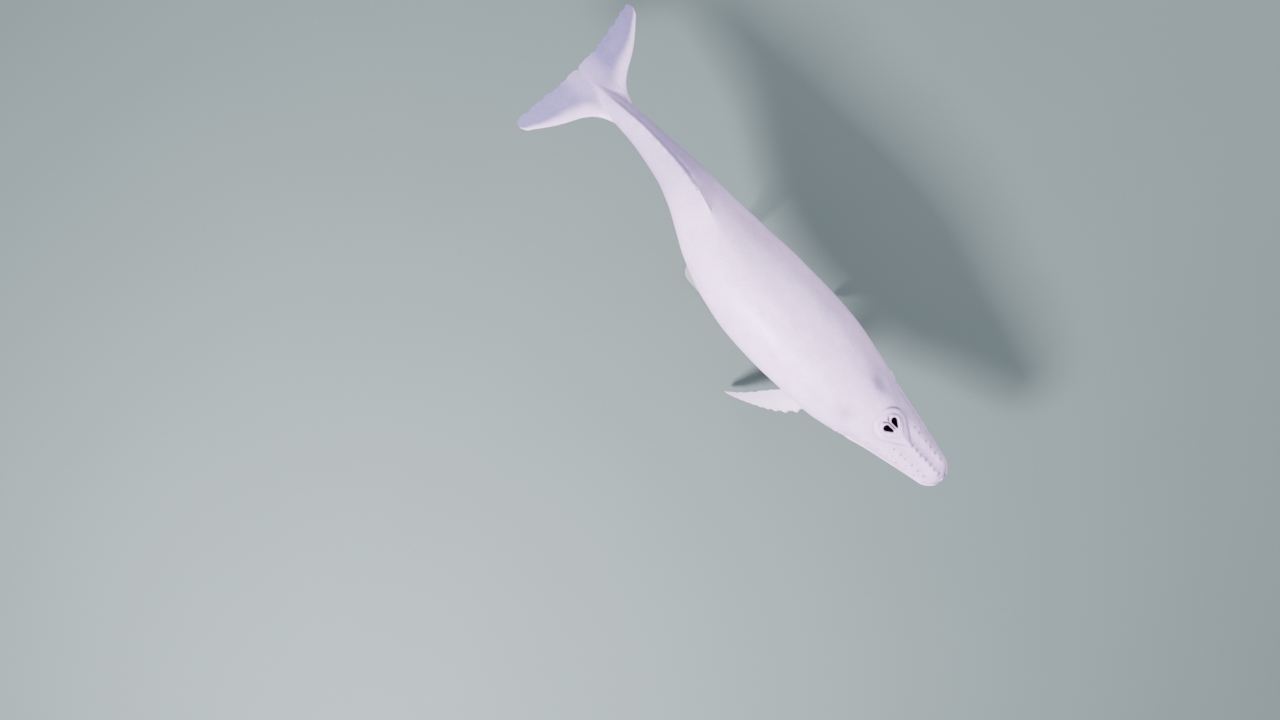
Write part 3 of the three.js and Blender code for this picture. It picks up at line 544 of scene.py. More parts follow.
@dataclass
class Blowholes:
    """The two blowholes, the forked groove between them, and the guard round them with its folds.

    Ahead and aside are measured from a point on the midline, in metres. Each fold has its place between the guard's
    middle and its edge, its width as a share of the same, and its strength.
    """

    at: float = 0.147
    front: tuple[float, float] = (0.050, 0.0255)
    rear: tuple[float, float] = (-0.006, 0.0450)
    front_radius: float = 0.0095
    rear_radius: float = 0.0285
    depth: float = 0.085
    over_skin: float = 0.030
    rim: float = 0.006
    dip: float = 0.010
    edge_round: float = 0.007
    groove_depth: float = 0.011
    guard_front: float = 0.280
    guard_side: float = 0.165
    guard_rear: float = 0.150
    guard_height: float = 0.024
    fold_depth: float = 0.0032
    folds: tuple[tuple[float, float, float], ...] = ((0.60, 0.055, 0.8), (0.94, 0.065, 1.0))
    # A patch of painted shade on the left of the guard: its middle, then its reach both ways.
    left_shade_patch: tuple[float, float] = (-0.007, 0.161)
    left_shade_patch_reach: tuple[float, float] = (0.045, 0.032)

    def ring(self, ahead: np.ndarray, side: np.ndarray) -> np.ndarray:
        """Return how far out in the guard a point is: 1 at its edge, which runs to a point in front.

        Args:
            ahead: distances ahead of the middle.
            side: distances from the midline.

        Returns:
            An array of shares, 0 in the middle and over 1 outside the guard.
        """
        reach = np.where(ahead > 0, self.guard_front, self.guard_rear)
        power = 2 - 0.78 * smoothstep(ahead, 0.0, 0.12)
        return (np.abs(ahead / reach) ** power + np.abs(side / self.guard_side) ** power) ** (1 / power)

    def gap(self, ahead: np.ndarray, side: np.ndarray) -> np.ndarray:
        """Return the distance from the nearer blowhole's edge, which is negative inside it.

        Args:
            ahead: distances ahead of the middle.
            side: distances from the midline.

        Returns:
            The distances, in an array of the same shape.
        """
        start, along = np.array(self.front), np.array(self.rear) - np.array(self.front)
        t = ((ahead - start[0]) * along[0] + (side - start[1]) * along[1]) / (along @ along)
        t = np.clip(t, 0, 1)
        off = np.hypot(ahead - start[0] - t * along[0], side - start[1] - t * along[1])
        return off - (self.front_radius + (self.rear_radius - self.front_radius) * t)

    def groove(self, ahead: np.ndarray, side: np.ndarray) -> np.ndarray:
        """Return how deep in the groove a point is: one line between the blowholes that forks behind them.

        Args:
            ahead: distances ahead of the middle.
            side: distances from the midline.

        Returns:
            An array of shares, 1 in the groove's middle and 0 outside it.
        """
        straight = bump(side, 0, 0.0095) * smoothstep(ahead, -0.048, -0.030) * (1 - smoothstep(ahead, 0.040, 0.066))
        back = np.clip(-0.030 - ahead, 0, None)
        branch = bump(side, 0.82 * back, 0.0085 + 0.10 * back)
        branch = branch * smoothstep(-ahead, 0.026, 0.040) * (1 - smoothstep(-ahead, 0.058, 0.082))
        return np.maximum(straight, branch)

    def carve(self, grid: SkinGrid) -> None:
        """Raise the guard, press the folds and the groove into it and dip the skin towards the blowholes, painting
        shade into the folds, the groove, the rims and a patch on the left.

        Args:
            grid: the skin's grid, which takes the forms on.
        """
        local = grid.local(grid.form.tangent_frame(self.at, 90))
        ahead, side = local[..., 0], np.abs(local[..., 1])
        on_top = smoothstep(local[..., 2], -0.16, -0.09) * (grid.angle > 0)
        ring = self.ring(ahead, side)
        mound = (1 - smoothstep(ring, 0.40, 1.10)) * on_top
        grid.out += self.guard_height * mound * (0.40 + 0.60 * smoothstep(ahead, -0.12, 0.05))
        near = smoothstep(side, 0.004, 0.040) * smoothstep(ahead, -0.19, -0.09) * on_top
        # Painted shade in the folds, much stronger on the left behind the blowholes, the side away from the key light.
        left_rear_shade = smoothstep(local[..., 1], 0.05, 0.09) * smoothstep(-ahead, 0.01, 0.04)
        for place, width, share in self.folds:
            fold = bump(ring, place, width) * near
            swell = bump(ring, place - 0.095, 1.1 * width) * near
            grid.out += self.fold_depth * share * (0.65 * swell - fold)
            grid.darken("crease_shade", 0.30 * share * fold)
            grid.darken("shade", (0.22 + 0.85 * left_rear_shade) * share * fold)
        # Painted shade: a soft bluish patch on the left of the guard.
        along, aside = ahead - self.left_shade_patch[0], local[..., 1] - self.left_shade_patch[1]
        left_shade_patch = np.exp(-((along / self.left_shade_patch_reach[0]) ** 2 + (aside / self.left_shade_patch_reach[1]) ** 2))
        grid.darken("shade", 0.30 * left_shade_patch * on_top)
        edge = self.gap(ahead, side)
        grid.out += self.rim * bump(edge, 0.012, 0.008) * on_top
        grid.out -= self.dip * (1 - smoothstep(edge, -0.006, 0.006)) * on_top
        groove = self.groove(ahead, side) * on_top
        grid.out -= self.groove_depth * groove
        # Painted shade in the groove and round the blowholes' rims.
        grid.darken("crease_shade", 1.4 * groove)
        grid.darken("crease_shade", 0.75 * (1 - smoothstep(edge, -0.002, 0.007)) * on_top)

    def outline(self) -> np.ndarray:
        """Return one blowhole's edge as points ahead and aside, in order round it.

        Returns:
            An array with a row for each point.
        """
        start, end = np.array(self.front), np.array(self.rear)
        along = (start - end) / np.linalg.norm(start - end)
        lean = math.acos((self.rear_radius - self.front_radius) / np.linalg.norm(start - end))
        heading = math.atan2(along[1], along[0])
        tip = heading + np.linspace(-lean, lean, 15)
        tail = heading + np.linspace(lean, 2 * math.pi - lean, 31)
        arcs = [centre + radius * np.stack([np.cos(turn), np.sin(turn)], -1)
                for centre, radius, turn in ((start, self.front_radius, tip), (end, self.rear_radius, tail))]
        sides = [np.linspace(a[-1], b[0], 9)[1:-1] for a, b in (arcs, arcs[::-1])]
        return np.concatenate([arcs[0], sides[0], arcs[1], sides[1]])

    def pits(self, form: BodyForm) -> list[Swept]:
        """Build the two deep pits that are cut out of the skin, narrowing as they go in.

        Args:
            form: the body's plain form.

        Returns:
            The left pit and the right one, as closed meshes with their own points.
        """
        matrix = np.array(form.tangent_frame(self.at, 90))
        edge = self.outline()
        middle = edge.mean(axis=0)
        turn = np.linspace(0, math.pi / 2, 16)[:, None]
        level = self.over_skin - (self.depth + self.over_skin) * np.sin(turn)
        size = 0.22 + 0.78 * np.cos(turn) ** 0.55
        made = []
        for side in (Side.LEFT.value, Side.RIGHT.value):
            flat = middle + (edge - middle) * size[..., None]
            local = np.stack([flat[..., 0], side * flat[..., 1], level * np.ones(len(edge))], -1)
            points = local @ matrix[:3, :3].T + matrix[:3, 3]
            pit = wrapped_grid(f"pit_{side}", points)
            made.append(Swept(pit, points, np.ones(points.shape[:2]), self.edge_round))
        return made

    def darkness(self, form: BodyForm, places: np.ndarray) -> np.ndarray:
        """Find how far down in a blowhole points lie.

        Args:
            form: the body that the blowholes are in.
            places: the points.

        Returns:
            One amount for each point, from 0 on the skin to 1 well inside a pit.
        """
        matrix = np.array(form.tangent_frame(self.at, 90))
        local = (places - matrix[:3, 3]) @ matrix[:3, :3]
        side = np.abs(local[:, 1])
        edge = self.gap(local[:, 0], side)
        near = np.abs(local[:, 2]) < 0.15
        rim = near & (edge > 0.004) & (edge < 0.012) & (local[:, 2] > -0.03)
        plane = np.stack([np.ones(len(places)), local[:, 0], side], -1)
        level = np.linalg.lstsq(plane[rim], local[rim, 2], rcond=None)[0]
        depth = plane @ level - local[:, 2]
        return smoothstep(depth, 0.005, 0.024) * (1 - smoothstep(edge, 0.0, 0.006)) * near


@dataclass(frozen=True)
class KnobRow:
    """A row of knobs that runs back along one side of the head.

    It lies at an angle, or else at a share of the half width, and may close in on the midline towards its rear.
    """

    count: int
    first: float
    step: float
    size: float
    angle: float | None = None
    share: float = 0.0
    closing: float = 0.0

    def angle_of(self, number: int) -> float:
        """Return the angle at which one of the row's knobs sits.

        Args:
            number: the knob's number in the row, from 0.

        Returns:
            The angle, in degrees.
        """
        if self.angle is not None:
            return self.angle
        return math.degrees(math.acos(self.share - self.closing * number))


@dataclass
class Tubercles:
    """The rounded knobs of the head, in rows down its middle, along its sides and along both lips."""

    radius: float = 0.0150
    height: float = 0.0070
    spread: float = 1.25
    foot: float = 0.0010
    middle_count: int = 7
    middle_first: float = 0.0175
    middle_step: float = 0.0125
    rows: tuple[KnobRow, ...] = (
        KnobRow(6, 0.034, 0.0155, 0.95, share=0.66, closing=0.015),
        KnobRow(7, 0.027, 0.0205, 0.85, share=0.925),
        KnobRow(3, 0.040, 0.0310, 0.70, share=0.80),
        KnobRow(9, 0.028, 0.0150, 0.90, angle=-14.0),
        KnobRow(4, 0.040, 0.0260, 0.70, angle=-22.0),
    )
    chin_at: float = 0.012
    chin_angles: tuple[float, ...] = (-40.0, -66.0, -90.0, -114.0, -140.0)
    ends_at: float = 0.22
    seed: int = 7

    def places(self) -> list[tuple[float, float, float]]:
        """Return each knob's place along the body, its angle and its size.

        Returns:
            A list of places, angles and sizes, in which 1 is the usual size.
        """
        chance = np.random.default_rng(self.seed)
        made: list[tuple[float, float, float]] = []
        for i in range(self.middle_count):
            at = self.middle_first + self.middle_step * i
            made.append((at, 90 + chance.uniform(-1.5, 1.5), 1.1 + chance.uniform(-0.15, 0.15)))
        for side in Side:
            for row, i in ((row, i) for row in self.rows for i in range(row.count)):
                angle = row.angle_of(i) + chance.uniform(-1.6, 1.6)
                if side is Side.RIGHT:
                    angle = 180 - angle if angle > 0 else -180 - angle
                at = row.first + row.step * i + chance.uniform(-0.0022, 0.0022)
                made.append((at, angle, row.size * chance.uniform(0.82, 1.15)))
        return made + [(self.chin_at, angle, 1.0) for angle in self.chin_angles]

    def carve(self, grid: SkinGrid) -> None:
        """Raise every knob as a low dome and mark its darker top, which is partly real colour and partly painted
        shade.

        Args:
            grid: the skin's grid, which takes the forms on.
        """
        near = grid.at[:, 0] < self.ends_at
        plain = grid.plain[near]
        for at, angle, size in self.places():
            middle = grid.form.place(at, angle)
            away = np.linalg.norm(plain - middle, axis=-1) / (self.radius * size)
            dome = np.sqrt(np.clip(1 - (away / self.spread) ** 2, 0, 1)) * (1 - smoothstep(away, 0.95, self.spread))
            foot = bump(away, 1.35, 0.25)
            grid.out[near] += self.height * size * dome - self.foot * foot
            # The knob mark: darker tops, partly real colour and partly painted shade.
            grid.knob[near] = np.maximum(grid.knob[near], bump(away, 0, 0.75))


@dataclass
class Eyelids:
    """The lids round both eyes: a swelling round an opening, with fine folds above it."""

    at: float = 0.199
    angle: float = 10.0
    half_length: float = 0.027
    half_height: float = 0.0145
    ridge: float = 0.009
    depth: float = 0.034
    fold_places: tuple[float, float] = (2.35, 3.0)
    fold_depth: float = 0.0022
    reach: float = 0.16

    def carve(self, grid: SkinGrid) -> None:
        """Open the eye and raise its lids on both sides of the head, with painted shade in the folds and round the
        opening.

        Args:
            grid: the skin's grid, which takes the forms on.
        """
        for angle in (self.angle, 180 - self.angle):
            local = grid.local(grid.form.tangent_frame(self.at, angle))
            close = np.linalg.norm(local, axis=-1) < self.reach
            ring = np.hypot(local[..., 0] / self.half_length, local[..., 1] / self.half_height)
            hole = (1 - smoothstep(ring, 0.82, 1.12)) * close
            grid.out += self.ridge * bump(ring, 1.45, 0.38) * close * (1 - hole)
            grid.out -= self.depth * hole
            for place in self.fold_places:
                fold = bump(ring, place, 0.16) * close
                grid.out -= self.fold_depth * fold
                # Painted shade in the fold.
                grid.darken("crease_shade", 0.3 * fold)
            # Painted shade round the eye's opening.
            grid.darken("crease_shade", 0.85 * (1 - smoothstep(ring, 1.0, 1.3)) * close)


@dataclass
class HeadForms:
    """The rostrum's middle ridge, and the hollows beside and behind the blowholes."""

    ridge: float = 0.010
    ridge_half_width: float = 0.026
    ridge_ends: tuple[float, float] = (0.100, 0.122)
    ridge_trough: float = 0.006
    hollow: float = 0.027
    hollow_at: float = 0.209
    hollow_out: float = 0.216
    beside: float = 0.008
    beside_at: float = 0.146
    beside_out: float = 0.178
    nape: float = 0.007
    nape_at: float = 0.190

    def carve(self, grid: SkinGrid) -> None:
        """Raise the ridge and press in the hollows, with painted shade in them.

        Args:
            grid: the skin's grid, which takes the forms on.
        """
        top = grid.angle > 0
        wide = np.abs(grid.across)
        rostrum = smoothstep(grid.at, 0.008, 0.03) * (1 - smoothstep(grid.at, *self.ridge_ends))
        grid.out += self.ridge * rostrum * bump(grid.across, 0, self.ridge_half_width) * top
        grid.out -= self.ridge_trough * rostrum * bump(wide, 0.07, 0.035) * top
        hollow = bump(grid.at, self.hollow_at, 0.018) * bump(wide, self.hollow_out, 0.062) * top
        grid.out -= self.hollow * hollow
        # Painted shade in the hollows behind the blowholes, and in those beside them below.
        shaded = bump(grid.at, self.hollow_at + 0.002, 0.024) * bump(wide, self.hollow_out - 0.010, 0.085)
        grid.darken("shade", 0.40 * shaded * top)
        beside = bump(grid.at, self.beside_at, 0.017) * bump(wide, self.beside_out, 0.030) * top
        grid.out -= self.beside * beside
        grid.darken("shade", 0.26 * beside)
        grid.out -= self.nape * bump(grid.at, self.nape_at, 0.014) * bump(grid.across, 0, 0.10) * top


@dataclass
class Pleats:
    """The throat's pleats, from the chin to the navel, broad ridges between narrow grooves."""

    count: int = 22
    first_angle: float = -20.0
    last_angle: float = -160.0
    depth: float = 0.011
    ends_at: float = 0.545

    def carve(self, grid: SkinGrid) -> None:
        """Cut the grooves, which end at different places as the real ones do.

        Args:
            grid: the skin's grid, which takes the forms on.
        """
        turn = (grid.angle - self.first_angle) / (self.last_angle - self.first_angle) * self.count
        number = np.rint(turn)
        from_groove = np.abs(turn - number)
        within = (turn > -0.5) & (turn < self.count + 0.5)
        outward = np.abs(number / self.count - 0.5) * 2
        ragged = 0.020 * np.sin(number * 2.4) + 0.012 * np.sin(number * 5.1 + 1)
        ends = self.ends_at - 0.14 * outward**2 + ragged
        share = smoothstep(grid.at, 0.012, 0.05) * (1 - smoothstep(grid.at, ends - 0.05, ends)) * within
        groove = (1 - smoothstep(from_groove, 0.02, 0.20)) * share
        grid.out -= self.depth * groove
        grid.out += 0.18 * self.depth * bump(from_groove, 0.5, 0.25) * share
        # Painted shade in the grooves.
        grid.darken("crease_shade", 0.42 * groove)


@dataclass
class Back:
    """The back's hump, the ridge's knuckles with the valley on their left, and the underside's marks."""

    knuckle_first: float = 0.700
    knuckle_step: float = 0.0205
    knuckle_count: int = 9
    knuckle: float = 0.011
    valley: float = 0.008
    valley_out: float = 0.032
    hump: float = 0.016
    hump_at: float = 0.655
    navel: float = 0.010
    navel_at: float = 0.560
    slit: float = 0.012
    slit_from: tuple[float, float] = (0.672, 0.680)
    slit_to: tuple[float, float] = (0.706, 0.714)

    def carve(self, grid: SkinGrid) -> None:
        """Raise the hump and the knuckles, press in the valley, the navel and the slit, and grey the tail, with
        painted shade in the valley, the navel, the slit and on the tail's left flank.

        Args:
            grid: the skin's grid, which takes the forms on.
        """
        top = grid.angle > 0
        grid.out += self.hump * bump(grid.at, self.hump_at, 0.030) * bump(grid.across, 0, 0.060) * top
        for i in range(self.knuckle_count):
            place = self.knuckle_first + self.knuckle_step * i + 0.0025 * math.sin(2.3 * i)
            size = self.knuckle * (1 - 0.05 * i) * (0.85 + 0.25 * math.sin(1.7 * i + 1))
            knob = bump(grid.at, place, 0.0058) * bump(grid.across, 0, 0.024) * top
            grid.out += size * knob
        beside = bump(grid.across, self.valley_out, 0.016) * top
        beside = beside * smoothstep(grid.at, 0.690, 0.730) * (1 - smoothstep(grid.at, 0.900, 0.925))
        grid.out -= self.valley * beside
        # Painted shade: a dark line in the valley left of the ridge, where the ridge's own shade falls.
        grid.darken("shade", 0.85 * beside)
        # The tail is greyer as real colour, with extra painted shade on its left flank, away from the key light.
        tail_grey_and_shade = smoothstep(grid.at, 0.640, 0.760) * np.where(top, 1.0, 0.5)
        grid.darken("shade", tail_grey_and_shade * (0.40 + 0.26 * smoothstep(grid.across, 0.0, 0.030)))
        below = (grid.angle < 0) * bump(grid.across, 0, 0.012)
        navel = bump(grid.at, self.navel_at, 0.006) * bump(grid.across, 0, 0.018) * (grid.angle < 0)
        slit = smoothstep(grid.at, *self.slit_from) * (1 - smoothstep(grid.at, *self.slit_to)) * below
        grid.out -= self.navel * navel + self.slit * slit
        # Painted shade in the navel and the slit.
        grid.darken("crease_shade", 0.6 * np.maximum(navel, slit))
        streak = 1 - 0.65 * bump(grid.across, 0, 0.020) * (1 - smoothstep(grid.at, 0.935, 0.965))
        grid.darken("shade", smoothstep(grid.at, 0.905, 0.955) * streak * np.where(top, 0.62, 0.25))


@dataclass
class FinSection:
    """The section of a fin, rounded in front and sharp behind: a plain wing section of four digits."""

    chord_steps: int = 18
    nose: float = 0.2969
    bend: tuple[float, float, float, float] = (0.126, 0.3516, 0.2843, 0.0936)

    def ring(self) -> np.ndarray:
        """Return the section's points: share of the chord, and half thickness with its side's sign.

        Returns:
            An array with a row for each point, in order round the section.
        """
        share = (1 - np.cos(np.linspace(math.pi, 0, self.chord_steps + 1))) / 2
        one, two, three, four = self.bend
        half = 5 * (self.nose * np.sqrt(share) - one * share - two * share**2 + three * share**3 - four * share**4)
        upper = np.stack([share, half], -1)
        lower = np.stack([share, -half], -1)[::-1]
        return np.concatenate([upper, lower[1:]])


@dataclass
class Flukes:
    """The tail's two flukes, which turn a little to the right, each tip bent back by its own share.

    The outline holds the front and rear edges as places along the body, and the thickness in metres, at shares of
    the half span.
    """

    half_span: dict[Side, float] = field(default_factory=lambda: {Side.LEFT: 0.1550, Side.RIGHT: 0.1490})
    tip_back: dict[Side, float] = field(default_factory=lambda: {Side.LEFT: 0.0180, Side.RIGHT: 0.0070})
    frame_at: float = 0.95
    turn: float = 2.2
    forward: float = 0.0016
    droop: float = 0.034
    ragged: float = 0.0008
    overlap: float = 0.012
    rounded_from: float = 0.955
    rounded_share: float = 0.045
    chord_steps: int = 24
    steps: int = 72
    crowding: float = 1.45
    fillet: float = 0.045
    outline: dict[str, list[float]] = field(default_factory=lambda: {
        "out": [0.0, 0.05, 0.16, 0.22, 0.30, 0.42, 0.56, 0.70, 0.82, 0.91, 0.97, 1.0],
        "front": [0.8800, 0.8790, 0.8850, 0.9060, 0.9225, 0.9360, 0.9465, 0.9580, 0.9695, 0.9785, 0.9838, 0.9895],
        "back": [0.9975, 1.0050, 1.0060, 1.0050, 1.0045, 1.0065, 1.0090, 1.0095, 1.0100, 1.0100, 1.0090, 1.0060],
        "thick": [0.066, 0.066, 0.062, 0.054, 0.045, 0.036, 0.029, 0.023, 0.018, 0.015, 0.012, 0.008],
    })

    def build(self, form: BodyForm, side: Side) -> Swept:
        """Build one fluke.

        Args:
            form: the body that it grows from.
            side: the fluke's side.

        Returns:
            The closed fluke, which starts inside the tail.
        """
        line = {key: smooth_through(self.outline["out"], row) for key, row in self.outline.items()}
        out = 1 - (1 - np.linspace(0, 1, self.steps)) ** self.crowding
        centre, heading, left, up = form.frame_at(np.array(self.frame_at))
        turn = math.radians(self.turn)
        heading, left = (heading * math.cos(turn) + left * math.sin(turn),
                         left * math.cos(turn) - heading * math.sin(turn))
        plane = form.line["side"](self.frame_at) * form.length
        ragged = self.ragged * smoothstep(out, 0.08, 0.25) * (1 - smoothstep(out, 0.93, 1.0))
        wavy = np.sin(31 * out + side.value) + np.sin(53 * out) + 0.6 * np.sin(127 * out + 2 * side.value)
        moved = self.tip_back[side] * out**3 - self.forward
        front, back = line["front"](out) + moved, line["back"](out) + moved + ragged * wavy
        at_tip = np.clip((out - self.rounded_from) / self.rounded_share, 0, 1)
        rounding = 0.5 * (back - front) * (1 - np.sqrt(1 - 0.80 * at_tip**2))
        front, back = front + rounding, back - rounding
        section = FinSection(self.chord_steps).ring()
        chord = (back - front) * form.length
        ahead = (self.frame_at - front) * form.length
        ahead = ahead[:, None] - section[:, 0] * chord[:, None]
        lift = section[:, 1] * line["thick"](out)[:, None] + plane - self.droop * out[:, None] ** 2
        sideways = side.value * (out * (1 + self.overlap) - self.overlap) * self.half_span[side] * form.length
        points = centre + heading * ahead[..., None] + left * sideways[:, None, None] + up * lift[..., None]
        grey_from = 0.46 - 0.16 * smoothstep(out, 0.2, 0.9)[:, None]
        shade = smoothstep(section[:, 0] / grey_from, 0.28, 1.10)
        shade = shade * (0.72 + 0.28 * smoothstep(out, 0.10, 0.35))[:, None]
        paler_below = 0.45
        shade = np.where(section[:, 1] < 0, paler_below, 1.0) * shade
        return Swept(wrapped_grid(f"fluke_{side.name}", points), points, shade, self.fillet)


@dataclass
class Flippers:
    """The long flippers, hanging down and swept back, with knobs along their front edges.

    The outline holds the chord as a share of the body's length, and the thickness in metres, at shares of the way
    from root to tip. It starts inside the chest.
    """

    tip_out: dict[Side, float] = field(default_factory=lambda: {Side.LEFT: 0.030, Side.RIGHT: 0.085})
    root_at: float = 0.280
    root_out: float = 0.0795
    root_down: float = 0.0330
    back: float = 0.0885
    drop: float = 0.206
    twist: float = 24.0
    steps: int = 82
    tip_steps: int = 14
    tip_from: tuple[float, float] = (0.9, 0.907)
    fillet: float = 0.100
    ahead_of_spine: float = 0.42
    behind_spine: float = 0.58
    knob: float = 0.0046
    knob_reach: float = 0.024
    rear_waves: float = 0.0010
    knobs: tuple[float, ...] = (0.12, 0.28, 0.41, 0.51, 0.60, 0.69, 0.77, 0.84, 0.91)
    outline: dict[str, list[float]] = field(default_factory=lambda: {
        "t": [-0.12, 0.0, 0.14, 0.30, 0.50, 0.68, 0.84, 0.94, 1.0],
        "chord": [0.046, 0.046, 0.052, 0.055, 0.049, 0.040, 0.0295, 0.020, 0.006],
        "thick": [0.062, 0.062, 0.058, 0.050, 0.040, 0.031, 0.023, 0.017, 0.008],
    })

    def build(self, form: BodyForm, side: Side) -> Swept:
        """Build one flipper.

        Args:
            form: the body that it grows from.
            side: the flipper's side.

        Returns:
            The closed flipper, which starts inside the chest.
        """
        line = {key: smooth_through(self.outline["t"], row) for key, row in self.outline.items()}
        centre, heading, left, up = form.frame_at(np.array(self.root_at))
        out = self.tip_out[side]

        def point(back: float, outward: float, down: float) -> np.ndarray:
            """Return a point given as shares of the length from the root section's axis."""
            return centre + (-heading * back + left * side.value * outward - up * down) * form.length

        root = point(0, self.root_out, self.root_down)
        bend = point(0.30 * self.back, self.root_out + 0.62 * out, self.root_down + 0.46 * self.drop)
        tip = point(self.back, self.root_out + out, self.root_down + self.drop)
        t = np.concatenate([np.linspace(self.outline["t"][0], self.tip_from[0], self.steps),
                            np.linspace(self.tip_from[1], 1.0, self.tip_steps)])
        held = np.clip(t, 0, 1)[:, None]
        spine = (1 - held) ** 2 * root + 2 * held * (1 - held) * bend + held**2 * tip
        along = unit(2 * (1 - held) * (bend - root) + 2 * held * (tip - bend))
        spine = spine + along * np.minimum(t, 0)[:, None] * self.drop * form.length
        forward = unit(heading - along * (along @ heading)[:, None])
        through = np.cross(forward, along)
        turn = np.radians(side.value * self.twist * held)
        forward, through = (
            forward * np.cos(turn) + np.cross(along, forward) * np.sin(turn),
            through * np.cos(turn) + np.cross(along, through) * np.sin(turn),
        )
        knobs = sum((1 - 0.06 * i) * bump(t, place, self.knob_reach) for i, place in enumerate(self.knobs))
        chord = line["chord"](t)
        waves = np.sin(43 * t) + 0.6 * np.sin(71 * t + side.value)
        wavy = self.rear_waves * smoothstep(t, 0.15, 0.4) * waves
        section = FinSection().ring()
        front = (self.ahead_of_spine * chord + self.knob * knobs) * form.length
        rear = (-self.behind_spine * chord + wavy) * form.length
        lean = front[:, None] + (rear - front)[:, None] * section[:, 0]
        swollen = 1 + 0.35 * knobs[:, None] * bump(section[:, 0], 0.04, 0.14)
        depth = section[:, 1] * line["thick"](t)[:, None] * swollen
        points = spine[:, None] + forward[:, None] * lean[..., None] + through[:, None] * depth[..., None]
        shade = 0.35 * smoothstep(section[:, 0], 0.3, 0.9) * np.ones_like(t)[:, None]
        return Swept(wrapped_grid(f"flipper_{side.name}", points), points, shade, self.fillet)


@dataclass
class DorsalFin:
    """The small hooked fin on the back."""

    front_at: float = 0.625
    back_at: float = 0.692
    height: float = 0.092
    thick: float = 0.044
    tip_lean: float = 0.92
    hook: float = 0.006
    sunk: float = 0.9
    over_ridge: float = 0.020
    shade: float = 0.25
    root_steps: int = 6
    steps: int = 28
    fillet: float = 0.035

    def build(self, form: BodyForm) -> Swept:
        """Build the fin, which starts inside the back.

        Args:
            form: the body that it grows from.

        Returns:
            The closed fin, which starts inside the body.
        """
        middle = (self.front_at + self.back_at) / 2
        centre, heading, left, up = form.frame_at(np.array(middle))
        ridge = form.line["back"](self.back_at) * form.length
        above = np.sin(np.linspace(0.06, math.pi / 2, self.steps))
        level = np.concatenate([np.linspace(-self.sunk, 0, self.root_steps), above])
        rise = np.maximum(level, 0)
        front = self.front_at + (self.back_at - self.front_at) * self.tip_lean * rise**1.15
        back = self.back_at - self.hook * np.sin(math.pi * rise) + self.hook * rise**2
        section = FinSection().ring()
        ahead = (middle - front[:, None] - section[:, 0] * (back - front)[:, None]) * form.length
        aside = section[:, 1] * (self.thick * (1 - 0.78 * rise))[:, None]
        raised = (ridge + self.over_ridge + self.height * level)[:, None] * np.ones_like(ahead)
        points = centre + heading * ahead[..., None] + left * aside[..., None] + up * raised[..., None]
        return Swept(wrapped_grid("dorsal", points), points, np.full(ahead.shape, self.shade), self.fillet)


